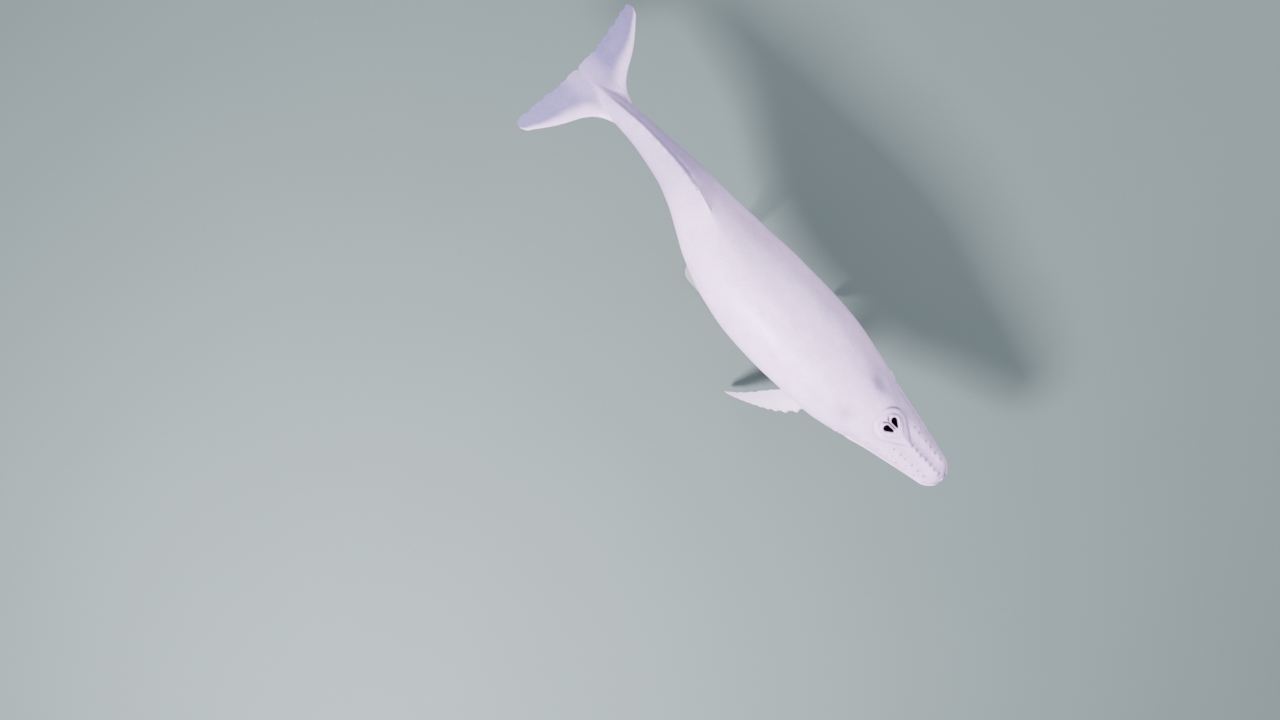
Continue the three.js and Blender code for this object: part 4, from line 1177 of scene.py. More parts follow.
@dataclass
class Whale:
    """The whale's one skin: body and fins as a single closed mesh."""

    form: BodyForm = field(default_factory=BodyForm)
    snout_steps: int = 22
    front_steps: tuple[tuple[float, float, int], ...] = (
        (0.028, 0.124, 58), (0.124, 0.169, 48), (0.169, 0.186, 10), (0.186, 0.213, 29), (0.213, 0.25, 14),
        (0.25, 0.56, 38),
    )
    rear_steps: tuple[tuple[float, float, int], ...] = ((0.563, 0.70, 24), (0.70, 0.885, 62), (0.885, 0.988, 20))
    rear_sides: int = 120
    smooth_rounds: int = 14
    nodes: tuple[str, ...] = (
        "head", "lower_jaw", "chest", "belly", "loin", "dorsal_fin", "tail_stock",
        "fluke_left", "fluke_right", "flipper_left", "flipper_right",
    )

    def stations(self) -> tuple[np.ndarray, np.ndarray]:
        """Return places along the front and the rear of the body, closer together where there is more to show.

        Returns:
            The rings' places along the front part, and along the rear part.
        """
        snout = self.front_steps[0][0] * (1 - np.cos(np.radians(np.linspace(0, 90, self.snout_steps))))
        ahead = [snout] + [np.linspace(a, b, n + 1)[1:] for a, b, n in self.front_steps]
        behind = [[self.rear_steps[0][0]]] + [np.linspace(a, b, n + 1)[1:] for a, b, n in self.rear_steps]
        return np.concatenate(ahead), np.concatenate(behind)

    def angles(self) -> tuple[np.ndarray, np.ndarray]:
        """Return angles round the front and the rear, closer together at the mouth, the eyes and the pleats.

        Returns:
            The points' angles round the front part, and round the rear part.
        """
        pleats = Pleats()
        lips = np.array([0.2, 0.6, 1.1, 1.7, 2.5, 3.4, 4.4])
        eye = np.arange(5.0, 16.5, 0.62)
        flank = np.linspace(17.4, 71, 24)
        crown = np.concatenate([np.linspace(72.4, 84.1, 10), np.linspace(84.9, 90, 8)])
        half_top = np.concatenate([lips, eye, flank, crown])
        top = np.concatenate([half_top, 180 - half_top[:-1][::-1]])
        step = (pleats.last_angle - pleats.first_angle) / pleats.count
        starts = pleats.first_angle + step * np.arange(pleats.count)
        folds = (starts[:, None] + step * np.array([0.0, 0.11, 0.24, 0.5, 0.76, 0.89])).ravel()
        rim = np.array([5.6, 7.4, 9.8, 12.4, 15.0, 17.6])
        left_rim = -np.concatenate([lips, rim])
        right_rim = -180 - left_rim[::-1]
        below = np.concatenate([left_rim, folds, [pleats.last_angle], right_rim])
        rear = np.linspace(-180, 180, self.rear_sides + 1)[1:]
        return np.concatenate([below[::-1], top]), rear

    def carved_grid(self, stations: np.ndarray, angles: np.ndarray) -> SkinGrid:
        """Carve all forms into a grid of points on the body.

        Args:
            stations: places along the body.
            angles: places round it.

        Returns:
            The carved grid, with its marks.
        """
        at = stations[:, None] * np.ones_like(angles)
        grid = SkinGrid(self.form, at, np.ones_like(at) * angles)
        for part in (HeadForms(), Blowholes(), Eyelids(), Tubercles(), Pleats(), Back(), Mouth()):
            part.carve(grid)
        return grid

    def fins(self) -> list[Swept]:
        """Build all of the fins, each starting inside the body.

        Returns:
            The fins in the order in which they are joined on.
        """
        flippers = [Flippers().build(self.form, side) for side in Side]
        flukes = [Flukes().build(self.form, side) for side in Side]
        return [*flippers, *flukes, DorsalFin().build(self.form)]

    def use_up(self, body: bpy.types.Object, shapes: list[Swept], operation: str) -> None:
        """Join shapes to the body or cut them out of it, and remove their own objects.

        Args:
            body: the whale's skin.
            shapes: the fins or the pits.
            operation: UNION or DIFFERENCE.
        """
        for shape in shapes:
            combine(body, shape.piece, operation)
            bpy.data.objects.remove(shape.piece)

    def soften_joins(self, body: bpy.types.Object, skin_tree: KDTree, shapes: list[Swept]) -> None:
        """Smooth the skin where the fins grow from it and round the blowholes' edges.

        Args:
            body: the joined skin.
            skin_tree: the body's own points.
            shapes: the fins and the pits, with their own points.
        """
        places = vertex_places(body)
        group = body.vertex_groups.new(name="joins")
        for shape in shapes:
            reach = shape.fillet
            cloud = shape.points.reshape(-1, 3)
            tree = point_tree(cloud)
            low, high = cloud.min(axis=0) - reach, cloud.max(axis=0) + reach
            inside = np.nonzero(((places > low) & (places < high)).all(axis=1))[0]
            for i in inside:
                far = max(tree.find(places[i])[2], skin_tree.find(places[i])[2])
                weight = 1 - float(smoothstep(far, 0.35 * reach, reach))
                if weight > 0.01:
                    group.add([int(i)], weight, "REPLACE")
        smooth = body.modifiers.new("joins", "SMOOTH")
        smooth.factor, smooth.iterations, smooth.vertex_group = 0.5, self.smooth_rounds, group.name
        apply_modifiers(body)
        body.vertex_groups.clear()

    def mark(self, body: bpy.types.Object, clouds: list[np.ndarray], grids: list[SkinGrid],
             fins: list[Swept]) -> None:
        """Write the marks onto the final mesh as attributes, from the nearest points that they were made for.

        Args:
            body: the joined skin.
            clouds: the carved points of the body's front and rear.
            grids: the front's grid and the rear's, with their marks.
            fins: the fins, with their own points and shades.
        """
        places = vertex_places(body)
        tree = point_tree(*clouds, *[fin.points for fin in fins])
        nearest = np.array([tree.find(place)[1] for place in places])
        blank = [np.zeros(fin.shade.size) for fin in fins]
        for name in ("crease_shade", "knob"):
            values = np.concatenate([getattr(grid, name).ravel() for grid in grids] + blank)
            write_attribute(body, name, values[nearest])
        shades = np.concatenate([shape.shade.ravel() for shape in [*grids, *fins]])
        write_attribute(body, "shade", shades[nearest])
        # How deep in a blowhole each point lies, for the painted shade there.
        write_attribute(body, "pit", Blowholes().darkness(self.form, places))

    def build(self) -> bpy.types.Object:
        """Build the whole skin.

        Returns:
            The skin with its fins, in one mesh.
        """
        grids = [self.carved_grid(at, round_body) for at, round_body in zip(self.stations(), self.angles())]
        front, rear = (grid.carved() for grid in grids)
        front[0] = front[0].mean(axis=0)
        body = wrapped_grid("whale_skin", front, close=False)
        bridge_rings(body, wrapped_grid("rear", rear, close=False))
        fins, pits = self.fins(), Blowholes().pits(self.form)
        self.use_up(body, fins, "UNION")
        self.use_up(body, pits, "DIFFERENCE")
        self.soften_joins(body, point_tree(front, rear), [*fins, *pits])
        self.mark(body, [front, rear], grids, fins)
        make_active(body)
        bpy.ops.object.shade_smooth()
        return body


@dataclass
class Eyes:
    """The two eyeballs, each set back behind its lids."""

    lids: Eyelids = field(default_factory=Eyelids)
    radius: float = 0.028
    sunk: float = 0.021
    cornea: float = 0.0022
    cornea_angle: float = 33.0
    segments: int = 72
    rings: int = 54

    def build(self, form: BodyForm, side: Side) -> bpy.types.Object:
        """Build one eyeball with its bulging cornea.

        Args:
            form: the body that it sits in.
            side: the side of the head.

        Returns:
            The eyeball, with the iris's own places as attributes.
        """
        angle = self.lids.angle if side is Side.LEFT else 180 - self.lids.angle
        matrix = np.array(form.tangent_frame(self.lids.at, angle))
        deselect_all()
        bpy.ops.mesh.primitive_uv_sphere_add(segments=self.segments, ring_count=self.rings, radius=self.radius)
        ball = name_active(f"eye_{side.name.lower()}_ball")
        local = vertex_places(ball)
        off_axis = np.degrees(np.arccos(np.clip(local[:, 2] / self.radius, -1, 1)))
        bulge = self.cornea * (1 - smoothstep(off_axis, 0.35 * self.cornea_angle, self.cornea_angle))
        grown = local * (1 + bulge / self.radius)[:, None]
        placed = (grown - [0, 0, self.sunk]) @ matrix[:3, :3].T + matrix[:3, 3]
        move_vertices(ball, placed)
        for name, column in (("eye_length", 0), ("eye_height", 1), ("eye_front", 2)):
            write_attribute(ball, name, local[:, column] / self.radius)
        point_faces_out(ball)
        bpy.ops.object.shade_smooth()
        return ball


@dataclass
class BasePlate:
    """The stand's flat base: a plate with round corners and a fine bevel."""

    length: float = 1.9
    width: float = 0.64
    thickness: float = 0.04
    corner: float = 0.12
    corner_steps: int = 14
    bevel: float = 0.005
    bevel_steps: int = 4
    bevel_from: float = 50.0

    def build(self) -> bpy.types.Object:
        """Build the plate, resting on the floor.

        Returns:
            The plate.
        """
        deselect_all()
        bpy.ops.mesh.primitive_cube_add(size=1, location=(0, 0, self.thickness / 2))
        plate = name_active("stand_plate")
        plate.scale = (self.length, self.width, self.thickness)
        settle(plate)
        bpy.ops.object.mode_set(mode="EDIT")
        bpy.ops.mesh.select_mode(type="EDGE")
        bpy.ops.mesh.select_all(action="DESELECT")
        bpy.ops.object.mode_set(mode="OBJECT")
        for edge in plate.data.edges:
            a, b = (plate.data.vertices[i].co for i in edge.vertices)
            edge.select = abs(a.z - b.z) > 0.5 * self.thickness
        bpy.ops.object.mode_set(mode="EDIT")
        bpy.ops.mesh.bevel(offset=self.corner, segments=self.corner_steps, affect="EDGES")
        bpy.ops.object.mode_set(mode="OBJECT")
        rim = plate.modifiers.new("rim", "BEVEL")
        rim.width, rim.segments = self.bevel, self.bevel_steps
        rim.limit_method, rim.angle_limit = "ANGLE", math.radians(self.bevel_from)
        apply_modifiers(plate)
        smooth_edges(plate)
        return plate


@dataclass
class Rod:
    """One of the stand's rods: a flanged foot with its screws, the rod itself and a soft pad under the belly."""

    name: str
    at: float
    node: str
    radius: float = 0.032
    foot_radius: float = 0.095
    foot_height: float = 0.014
    top: float = 1.25
    gap: float = 0.0003
    foot_fillet: float = 0.010
    foot_round: float = 0.004
    foot_bevel: float = 0.001
    pad_radius: float = 0.047
    pad_reach: float = 0.030
    pad_round: float = 0.004
    pad_flare: float = 0.012
    pad_over: float = 0.02
    sides: int = 64
    screws: int = 6
    screw_radius: float = 0.009
    screw_height: float = 0.0066
    screw_lift: float = 0.0035
    screw_bevel: float = 0.0022
    socket_depth: float = 0.0032

    def profile(self, floor: float) -> list[tuple[float, float]]:
        """Return the turned outline of the foot and the rod, as radius and height.

        Args:
            floor: the height that the rod stands on.

        Returns:
            Pairs of a radius and a height, from the foot to the top.
        """
        foot = floor + self.gap
        level = foot + self.foot_height
        fillet = [(self.radius + self.foot_fillet * (1 - math.sin(t)), level + self.foot_fillet * (1 - math.cos(t)))
                  for t in np.radians(np.linspace(0, 90, 7))]
        edge = [(self.foot_radius - self.foot_round * (1 - math.cos(t)), level - self.foot_round * (1 - math.sin(t)))
                for t in np.radians(np.linspace(0, 90, 6))]
        rise = [(self.radius, z) for z in np.linspace(level + 0.03, self.top, 14)]
        return [(0, foot), (self.foot_radius - self.foot_bevel, foot), (self.foot_radius, foot + self.foot_bevel),
                *edge, *fillet, *rise, (0, self.top)]

    def turned(self, name: str, outline: list[tuple[float, float]], middle: np.ndarray,
               hollow: bool = False) -> bpy.types.Object:
        """Spin an outline round an upright axis.

        Args:
            name: the new object's name.
            outline: radius and height of each point.
            middle: a point of the axis.
            hollow: whether the outline stands off the axis and closes on itself, as a collar's does.

        Returns:
            The closed turned piece.
        """
        turns = np.radians(np.linspace(0, 360, self.sides, endpoint=False))
        closed = outline + outline[:1] if hollow else outline
        rings = np.array([[(middle[0] + r * math.cos(t), middle[1] + r * math.sin(t), z) for t in turns]
                          for r, z in closed])
        piece = wrapped_grid(name, rings, close=not hollow)
        if hollow:
            point_faces_out(piece)
        smooth_edges(piece)
        return piece

    def belly_height(self, middle: np.ndarray, skin: bpy.types.Object) -> float:
        """Return the height at which the rod's axis meets the belly.

        Args:
            middle: the rod's own middle, seen from above.
            skin: the whale's skin.

        Returns:
            The height of the skin's lowest point over the rod's middle.
        """
        hit, place, _, _ = skin.ray_cast(Vector((middle[0], middle[1], 0.1)), Vector((0, 0, 1)))
        if not hit:
            raise ValueError(f"the {self.name} rod stands beside the whale")
        return float(place.z)

    def build(self, form: BodyForm, floor: float, skin: bpy.types.Object) -> list[bpy.types.Object]:
        """Build the rod, its screws and its pad.

        Args:
            form: the body that it holds.
            floor: the height of the base's upper face.
            skin: the finished skin, which shapes the rod's top.

        Returns:
            The rod, the pad and the screws, as three objects.
        """
        middle = form.frame_at(np.array(self.at))[0]
        rod = self.turned(f"stand_{self.name}_post", self.profile(floor), middle)
        combine(rod, skin, "DIFFERENCE")
        meets = self.belly_height(middle, skin)
        low = meets - self.pad_reach
        inner = self.radius + self.gap
        outline = [(inner, low), (self.pad_radius - self.pad_round, low), (self.pad_radius, low + self.pad_round),
                   (self.pad_radius + self.pad_flare, meets + self.pad_over), (inner, meets + self.pad_over)]
        pad = self.turned(f"stand_{self.name}_pad", outline, middle, hollow=True)
        combine(pad, skin, "DIFFERENCE")
        return [rod, pad, self.screw_heads(middle, floor)]

    def screw_head(self, place: tuple[float, float, float], turn: float) -> bpy.types.Object:
        """Build one domed screw head with its round socket.

        Args:
            place: its middle.
            turn: how far it is turned, in radians.

        Returns:
            The head.
        """
        deselect_all()
        bpy.ops.mesh.primitive_cylinder_add(vertices=24, radius=self.screw_radius, depth=self.screw_height,
                                            location=place, rotation=(0, 0, turn))
        head = bpy.context.object
        settle(head)
        bpy.ops.object.mode_set(mode="EDIT")
        bpy.ops.mesh.select_mode(type="FACE")
        bpy.ops.mesh.select_all(action="DESELECT")
        bpy.ops.object.mode_set(mode="OBJECT")
        for face in head.data.polygons:
            face.select = face.normal.z > 0.9
        bpy.ops.object.mode_set(mode="EDIT")
        bpy.ops.mesh.bevel(offset=self.screw_bevel, segments=3, affect="EDGES")
        bpy.ops.object.mode_set(mode="OBJECT")
        for face in head.data.polygons:
            face.select = face.normal.z > 0.99 and face.center.z > place[2]
        bpy.ops.object.mode_set(mode="EDIT")
        bpy.ops.mesh.inset(thickness=self.screw_bevel)
        bpy.ops.mesh.extrude_region_move(TRANSFORM_OT_translate={"value": (0, 0, -self.socket_depth)})
        bpy.ops.object.mode_set(mode="OBJECT")
        point_faces_out(head)
        return head

    def screw_heads(self, middle: np.ndarray, floor: float) -> bpy.types.Object:
        """Build the screw heads round the foot's flange.

        Args:
            middle: the rod's own middle, seen from above.
            floor: the height that the heads stand on.

        Returns:
            The heads, in one mesh.
        """
        height = floor + self.gap + self.foot_height + self.screw_lift
        circle = 0.5 * (self.foot_radius + self.radius + self.foot_fillet)
        turns = [2 * math.pi * (i + 0.5) / self.screws for i in range(self.screws)]
        heads = [self.screw_head((middle[0] + circle * math.cos(t), middle[1] + circle * math.sin(t), height), t)
                 for t in turns]
        make_active(heads[0])
        for head in heads:
            head.select_set(True)
        bpy.ops.object.join()
        joined = name_active(f"stand_{self.name}_screws")
        smooth_edges(joined)
        return joined


@dataclass(frozen=True)
class Tree:
    """A node tree being filled, of a material or of a group."""

    nodes: bpy.types.Nodes
    links: bpy.types.NodeLinks

    def node(self, kind: str, **settings: object) -> bpy.types.Node:
        """Add a node and set its properties.

        Args:
            kind: the node's type.
            settings: its options, by name.

        Returns:
            The new node.
        """
        made = self.nodes.new(kind)
        for name, value in settings.items():
            setattr(made, name, value)
        return made

    def plug(self, socket: bpy.types.NodeSocket, value: object) -> None:
        """Link a value into a socket, or set it there.

        Args:
            socket: the input.
            value: another node's output, a plain value, or None to leave it.
        """
        if isinstance(value, bpy.types.NodeSocket):
            self.links.new(value, socket)
        elif value is not None:
            if isinstance(value, tuple) and socket.type == "RGBA" and len(value) == 3:
                value = (*value, 1.0)
            socket.default_value = value

    def sum(self, operation: str, a: object, b: object = None, clamp: bool = False) -> bpy.types.NodeSocket:
        """Add a Math node and return its result.

        Args:
            operation: the kind of sum.
            a: its first value.
            b: its second value.
            clamp: whether the result is kept between 0 and 1.

        Returns:
            The result's output.
        """
        made = self.node("ShaderNodeMath", operation=operation, use_clamp=clamp)
        self.plug(made.inputs[0], a)
        self.plug(made.inputs[1], b)
        return made.outputs[0]

    def times(self, a: object, b: object, clamp: bool = False) -> bpy.types.NodeSocket:
        """Return the product of two values."""
        return self.sum("MULTIPLY", a, b, clamp)

    def plus(self, a: object, b: object, clamp: bool = False) -> bpy.types.NodeSocket:
        """Return the total of two values."""
        return self.sum("ADD", a, b, clamp)

    def mix(self, factor: object, a: object, b: object, blend: str = "MIX") -> bpy.types.NodeSocket:
        """Mix two colours and return the result.

        Args:
            factor: the second colour's share.
            a: the first colour.
            b: the second colour.
            blend: how the two are mixed.

        Returns:
            The mixed colour's output.
        """
        made = self.node("ShaderNodeMix", data_type="RGBA", blend_type=blend)
        self.plug(made.inputs[0], factor)
        self.plug(made.inputs[6], a)
        self.plug(made.inputs[7], b)
        return made.outputs[2]

    def feed(self, node: bpy.types.Node, values: dict[str, object]) -> None:
        """Give a node's inputs their values, by name."""
        for name, value in values.items():
            self.plug(node.inputs[name], value)

    def noise(self, where: object, scale: float, detail: float = 3.0, rough: float = 0.5) -> bpy.types.NodeSocket:
        """Add a noise texture and return its value.

        Args:
            where: the place to look at.
            scale: how many bumps there are to a metre.
            detail: how many finer layers it has.
            rough: how strong the finer layers are.

        Returns:
            The value's output.
        """
        made = self.node("ShaderNodeTexNoise")
        self.feed(made, {"Vector": where, "Scale": scale, "Detail": detail, "Roughness": rough})
        return made.outputs[0]

    def cells(self, where: object, scale: float, feature: str = "F1") -> bpy.types.NodeSocket:
        """Add a cell texture and return its distance.

        Args:
            where: the place to look at.
            scale: how many cells there are to a metre.
            feature: what is measured in the cells.

        Returns:
            The distance's output.
        """
        made = self.node("ShaderNodeTexVoronoi", feature=feature)
        self.feed(made, {"Vector": where, "Scale": scale})
        return made.outputs["Distance"]

    def span(self, value: object, low: float, high: float, to_low: float = 0.0,
             to_high: float = 1.0) -> bpy.types.NodeSocket:
        """Map a range smoothly onto another and return the result.

        Args:
            value: the value.
            low: where its range starts.
            high: where its range ends.
            to_low: what its start becomes.
            to_high: what its end becomes.

        Returns:
            The result's output.
        """
        made = self.node("ShaderNodeMapRange", interpolation_type="SMOOTHSTEP")
        for socket, item in zip(made.inputs, (value, low, high, to_low, to_high)):
            self.plug(socket, item)
        return made.outputs[0]

    def attribute(self, name: str) -> bpy.types.NodeSocket:
        """Read a point attribute."""
        return self.node("ShaderNodeAttribute", attribute_name=name).outputs["Fac"]

    def height_of(self, vector: bpy.types.NodeSocket) -> bpy.types.NodeSocket:
        """Return the Z of a vector.

        Args:
            vector: the vector's output.

        Returns:
            Its Z.
        """
        made = self.node("ShaderNodeSeparateXYZ")
        self.plug(made.inputs[0], vector)
        return made.outputs["Z"]

    def stretched(self, where: object, scale: tuple[float, float, float]) -> bpy.types.NodeSocket:
        """Stretch coordinates and return them.

        Args:
            where: the place.
            scale: the three factors.

        Returns:
            The new place's output.
        """
        made = self.node("ShaderNodeMapping")
        self.plug(made.inputs["Vector"], where)
        made.inputs["Scale"].default_value = scale
        return made.outputs[0]

    def place(self) -> bpy.types.NodeSocket:
        """Return the object's own coordinates."""
        return self.node("ShaderNodeTexCoord").outputs["Object"]

    def group(self, shared: bpy.types.ShaderNodeTree, **values: object) -> bpy.types.Node:
        """Place a shared group with its own values.

        Args:
            shared: the node group.
            values: what its inputs are given, by name.

        Returns:
            The new node, with the group's outputs.
        """
        made = self.node("ShaderNodeGroup")
        made.node_tree = shared
        for name, value in values.items():
            self.plug(made.inputs[name.replace("_", " ").capitalize()], value)
        return made


def new_group(name: str, inputs: dict[str, float | None], outputs: dict[str, str]) -> tuple[
        bpy.types.ShaderNodeTree, Tree, bpy.types.Node, bpy.types.Node]:
    """Start a shader node group.

    Args:
        name: its name.
        inputs: each input's usual value, or None for coordinates.
        outputs: each output's socket type.

    Returns:
        The group, the tree to fill, and its input and output nodes.
    """
    made = bpy.data.node_groups.new(name, "ShaderNodeTree")
    for label, value in inputs.items():
        kind = "NodeSocketVector" if value is None else "NodeSocketFloat"
        socket = made.interface.new_socket(label, in_out="INPUT", socket_type=kind)
        if value is not None:
            socket.default_value = value
    for label, kind in outputs.items():
        made.interface.new_socket(label, in_out="OUTPUT", socket_type=kind)
    tree = Tree(made.nodes, made.links)
    return made, tree, tree.node("NodeGroupInput"), tree.node("NodeGroupOutput")


@dataclass
class SharedEffects:
    """The effects that more than one finish uses, each built once as a node group."""

    def __post_init__(self) -> None:
        """Build the groups."""
        self.grain = self.fine_grain()
        self.wear = self.dust_and_wear()

    def fine_grain(self) -> bpy.types.ShaderNodeTree:
        """Build a fine even grain: a height, and a value that varies with it.

        Returns:
            The node group.
        """
        made, tree, given, result = new_group(
            "fine_grain", {"Place": None, "Size": 200.0, "Patch size": 5.0},
            {"Height": "NodeSocketFloat", "Patches": "NodeSocketFloat"})
        pores = tree.noise(given.outputs["Place"], given.outputs["Size"], 2.0, 0.6)
        bigger = tree.times(given.outputs["Size"], 0.31)
        wrinkles = tree.cells(given.outputs["Place"], bigger, "SMOOTH_F1")
        height = tree.plus(tree.times(pores, 0.55), tree.times(wrinkles, 0.45))
        patches = tree.noise(given.outputs["Place"], given.outputs["Patch size"], 4.0, 0.55)
        tree.feed(result, {"Height": height, "Patches": patches})
        return made

    def dust_and_wear(self) -> bpy.types.ShaderNodeTree:
        """Build a thin uneven film of dust, thicker on what faces up, and small scuffs.

        Returns:
            The node group.
        """
        made, tree, given, result = new_group(
            "dust_and_wear", {"Place": None, "Dust": 0.3, "Scuffs": 0.3},
            {"Film": "NodeSocketFloat", "Marks": "NodeSocketFloat"})
        normal = tree.node("ShaderNodeNewGeometry").outputs["Normal"]
        facing = tree.span(tree.height_of(normal), 0.2, 0.95)
        cloudy = tree.span(tree.noise(given.outputs["Place"], 3.5, 5.0, 0.62), 0.35, 0.72)
        film = tree.times(tree.times(facing, cloudy), given.outputs["Dust"], clamp=True)
        long_way = tree.stretched(given.outputs["Place"], (6.0, 60.0, 60.0))
        scratches = tree.span(tree.noise(long_way, 1.0, 3.0, 0.7), 0.66, 0.74)
        marks = tree.times(scratches, given.outputs["Scuffs"], clamp=True)
        tree.feed(result, {"Film": film, "Marks": marks})
        return made


def new_material(name: str) -> tuple[bpy.types.Material, Tree, bpy.types.Node]:
    """Start a material and return it with its tree and its shader.

    Args:
        name: the material's name.

    Returns:
        The material, its tree and its shader.
    """
    made = bpy.data.materials.new(name)
    made.use_nodes = True
    made.node_tree.nodes.clear()
    tree = Tree(made.node_tree.nodes, made.node_tree.links)
    shader = tree.node("ShaderNodeBsdfPrincipled")
    output = tree.node("ShaderNodeOutputMaterial")
    tree.links.new(shader.outputs[0], output.inputs[0])
    return made, tree, shader


def bump_into(tree: Tree, shader: bpy.types.Node, height: bpy.types.NodeSocket, strength: float, reach: float) -> None:
    """Raise a shader's surface by a height, in metres times the reach.

    Args:
        tree: the material's tree.
        shader: its shader.
        height: the height's output.
        strength: how strong the bump is.
        reach: how high it stands, in metres.
    """
    made = tree.node("ShaderNodeBump")
    tree.feed(made, {"Strength": strength, "Distance": reach, "Height": height})
    tree.feed(shader, {"Normal": made.outputs[0]})


@dataclass(frozen=True)
class SkinFinish:
    """The whale's pale skin: soft patches, fine pores, the flukes' grey rear halves, and painted shade in the creases,
    hollows, blowholes and on the tail's left flank.
    """

    pale: Colour = (0.890, 0.612, 0.985)
    deep: Colour = (0.700, 0.490, 0.815)
    belly: Colour = (0.900, 0.715, 0.950)
    # The flukes' and the tail's own grey, which the shade mark also uses for painted shade.
    fluke_grey: Colour = (0.135, 0.122, 0.305)
    crease_shade: Colour = (0.150, 0.075, 0.175)
    # The colour of the painted shade deep inside the blowholes.
    inside: Colour = (0.012, 0.010, 0.013)
    belly_heights: tuple[float, float] = (1.02, 1.30)
    freckle_share: float = 0.10
    pore_share: float = 0.22
    scratch_share: float = 0.30
    crease_shade_share: float = 0.92
    knob_share: float = 0.80
    coat: float = 0.11
    coat_roughness: float = 0.30

    def marks(self) -> bpy.types.ShaderNodeTree:
        """Build the skin's own pattern as a group.

        Returns:
            The node group.
        """
        made, tree, given, result = new_group(
            "skin_marks", {"Place": None},
            {"Patches": "NodeSocketFloat", "Freckles": "NodeSocketFloat", "Scratches": "NodeSocketFloat",
             "Swell": "NodeSocketFloat"})
        place = given.outputs["Place"]
        broad = tree.noise(tree.stretched(place, (0.8, 1.5, 1.5)), 1.6, 4.0, 0.55)
        middling = tree.noise(place, 9.0, 5.0, 0.62)
        patches = tree.plus(tree.times(broad, 0.62), tree.times(middling, 0.38))
        freckles = tree.span(tree.noise(place, 46.0, 4.0, 0.7), 0.48, 0.66)
        warp = tree.node("ShaderNodeTexNoise")
        tree.feed(warp, {"Vector": place, "Scale": 3.0})
        bent = tree.node("ShaderNodeVectorMath", operation="ADD")
        tree.plug(bent.inputs[0], place)
        tree.plug(bent.inputs[1], warp.outputs["Color"])
        thin = tree.cells(tree.stretched(bent.outputs[0], (3.2, 9.0, 9.0)), 1.0, "DISTANCE_TO_EDGE")
        lines = tree.span(thin, 0.0, 0.02, 1.0, 0.0)
        here = tree.span(tree.noise(place, 2.7, 2.0), 0.52, 0.66)
        tree.feed(result, {"Patches": tree.span(patches, 0.36, 0.64), "Freckles": freckles,
                           "Scratches": tree.times(lines, here), "Swell": tree.noise(place, 11.0, 3.0, 0.55)})
        return made

    def material(self, shared: SharedEffects) -> bpy.types.Material:
        """Build the skin material.

        Args:
            shared: the effects that other finishes use too.

        Returns:
            The material.
        """
        made, tree, shader = new_material("whale_skin")
        place = tree.place()
        marks = tree.group(self.marks(), place=place)
        grain = tree.group(shared.grain, place=place, size=210.0, patch_size=5.5)
        colour = tree.mix(marks.outputs["Patches"], self.deep, self.pale)
        under = tree.span(tree.height_of(place), *self.belly_heights, 0.75, 0.0)
        colour = tree.mix(under, colour, self.belly)
        colour = tree.mix(tree.times(marks.outputs["Freckles"], self.freckle_share), colour, self.deep)
        pores = tree.span(grain.outputs["Height"], 0.44, 0.30)
        colour = tree.mix(tree.times(pores, self.pore_share), colour, self.fluke_grey)
        colour = tree.mix(tree.times(marks.outputs["Scratches"], self.scratch_share), colour, self.belly)
        # The shade mark: real grey on the flukes and the tail, and painted shade in the hollows, folds, valley and the
        # tail's left flank.
        shade = tree.attribute("shade")
        mottled = tree.plus(tree.times(grain.outputs["Patches"], 0.25), 0.78)
        shaded = tree.times(shade, mottled, clamp=True)
        colour = tree.mix(shaded, colour, self.fluke_grey)
        flecks = tree.times(tree.times(shade, marks.outputs["Freckles"]), 0.05)
        colour = tree.mix(flecks, colour, self.pale)
        # Painted shade: the creases, grooves and folds are darkened towards a deep mauve.
        crease_shade = tree.attribute("crease_shade")
        colour = tree.mix(tree.times(crease_shade, self.crease_shade_share, clamp=True), colour, self.crease_shade)
        # The knobs' darker tops: partly real colour, partly painted shade.
        colour = tree.mix(tree.times(tree.attribute("knob"), self.knob_share), colour, self.crease_shade)
        # Painted shade: near black deep inside the blowholes.
        colour = tree.mix(tree.span(tree.attribute("pit"), 0.15, 0.7), colour, self.inside)
        roughness = tree.span(marks.outputs["Patches"], 0.0, 1.0, 0.50, 0.40)
        roughness = tree.plus(roughness, tree.times(crease_shade, 0.15), clamp=True)
        tree.feed(shader, {"Base Color": colour, "Roughness": roughness, "Coat Weight": self.coat,
                           "Coat Roughness": self.coat_roughness})
        relief = tree.plus(tree.times(grain.outputs["Height"], 0.55), tree.times(marks.outputs["Swell"], 0.9))
        relief = tree.sum("SUBTRACT", relief, tree.times(marks.outputs["Scratches"], 0.08))
        bump_into(tree, shader, relief, 0.8, 0.004)
        return made


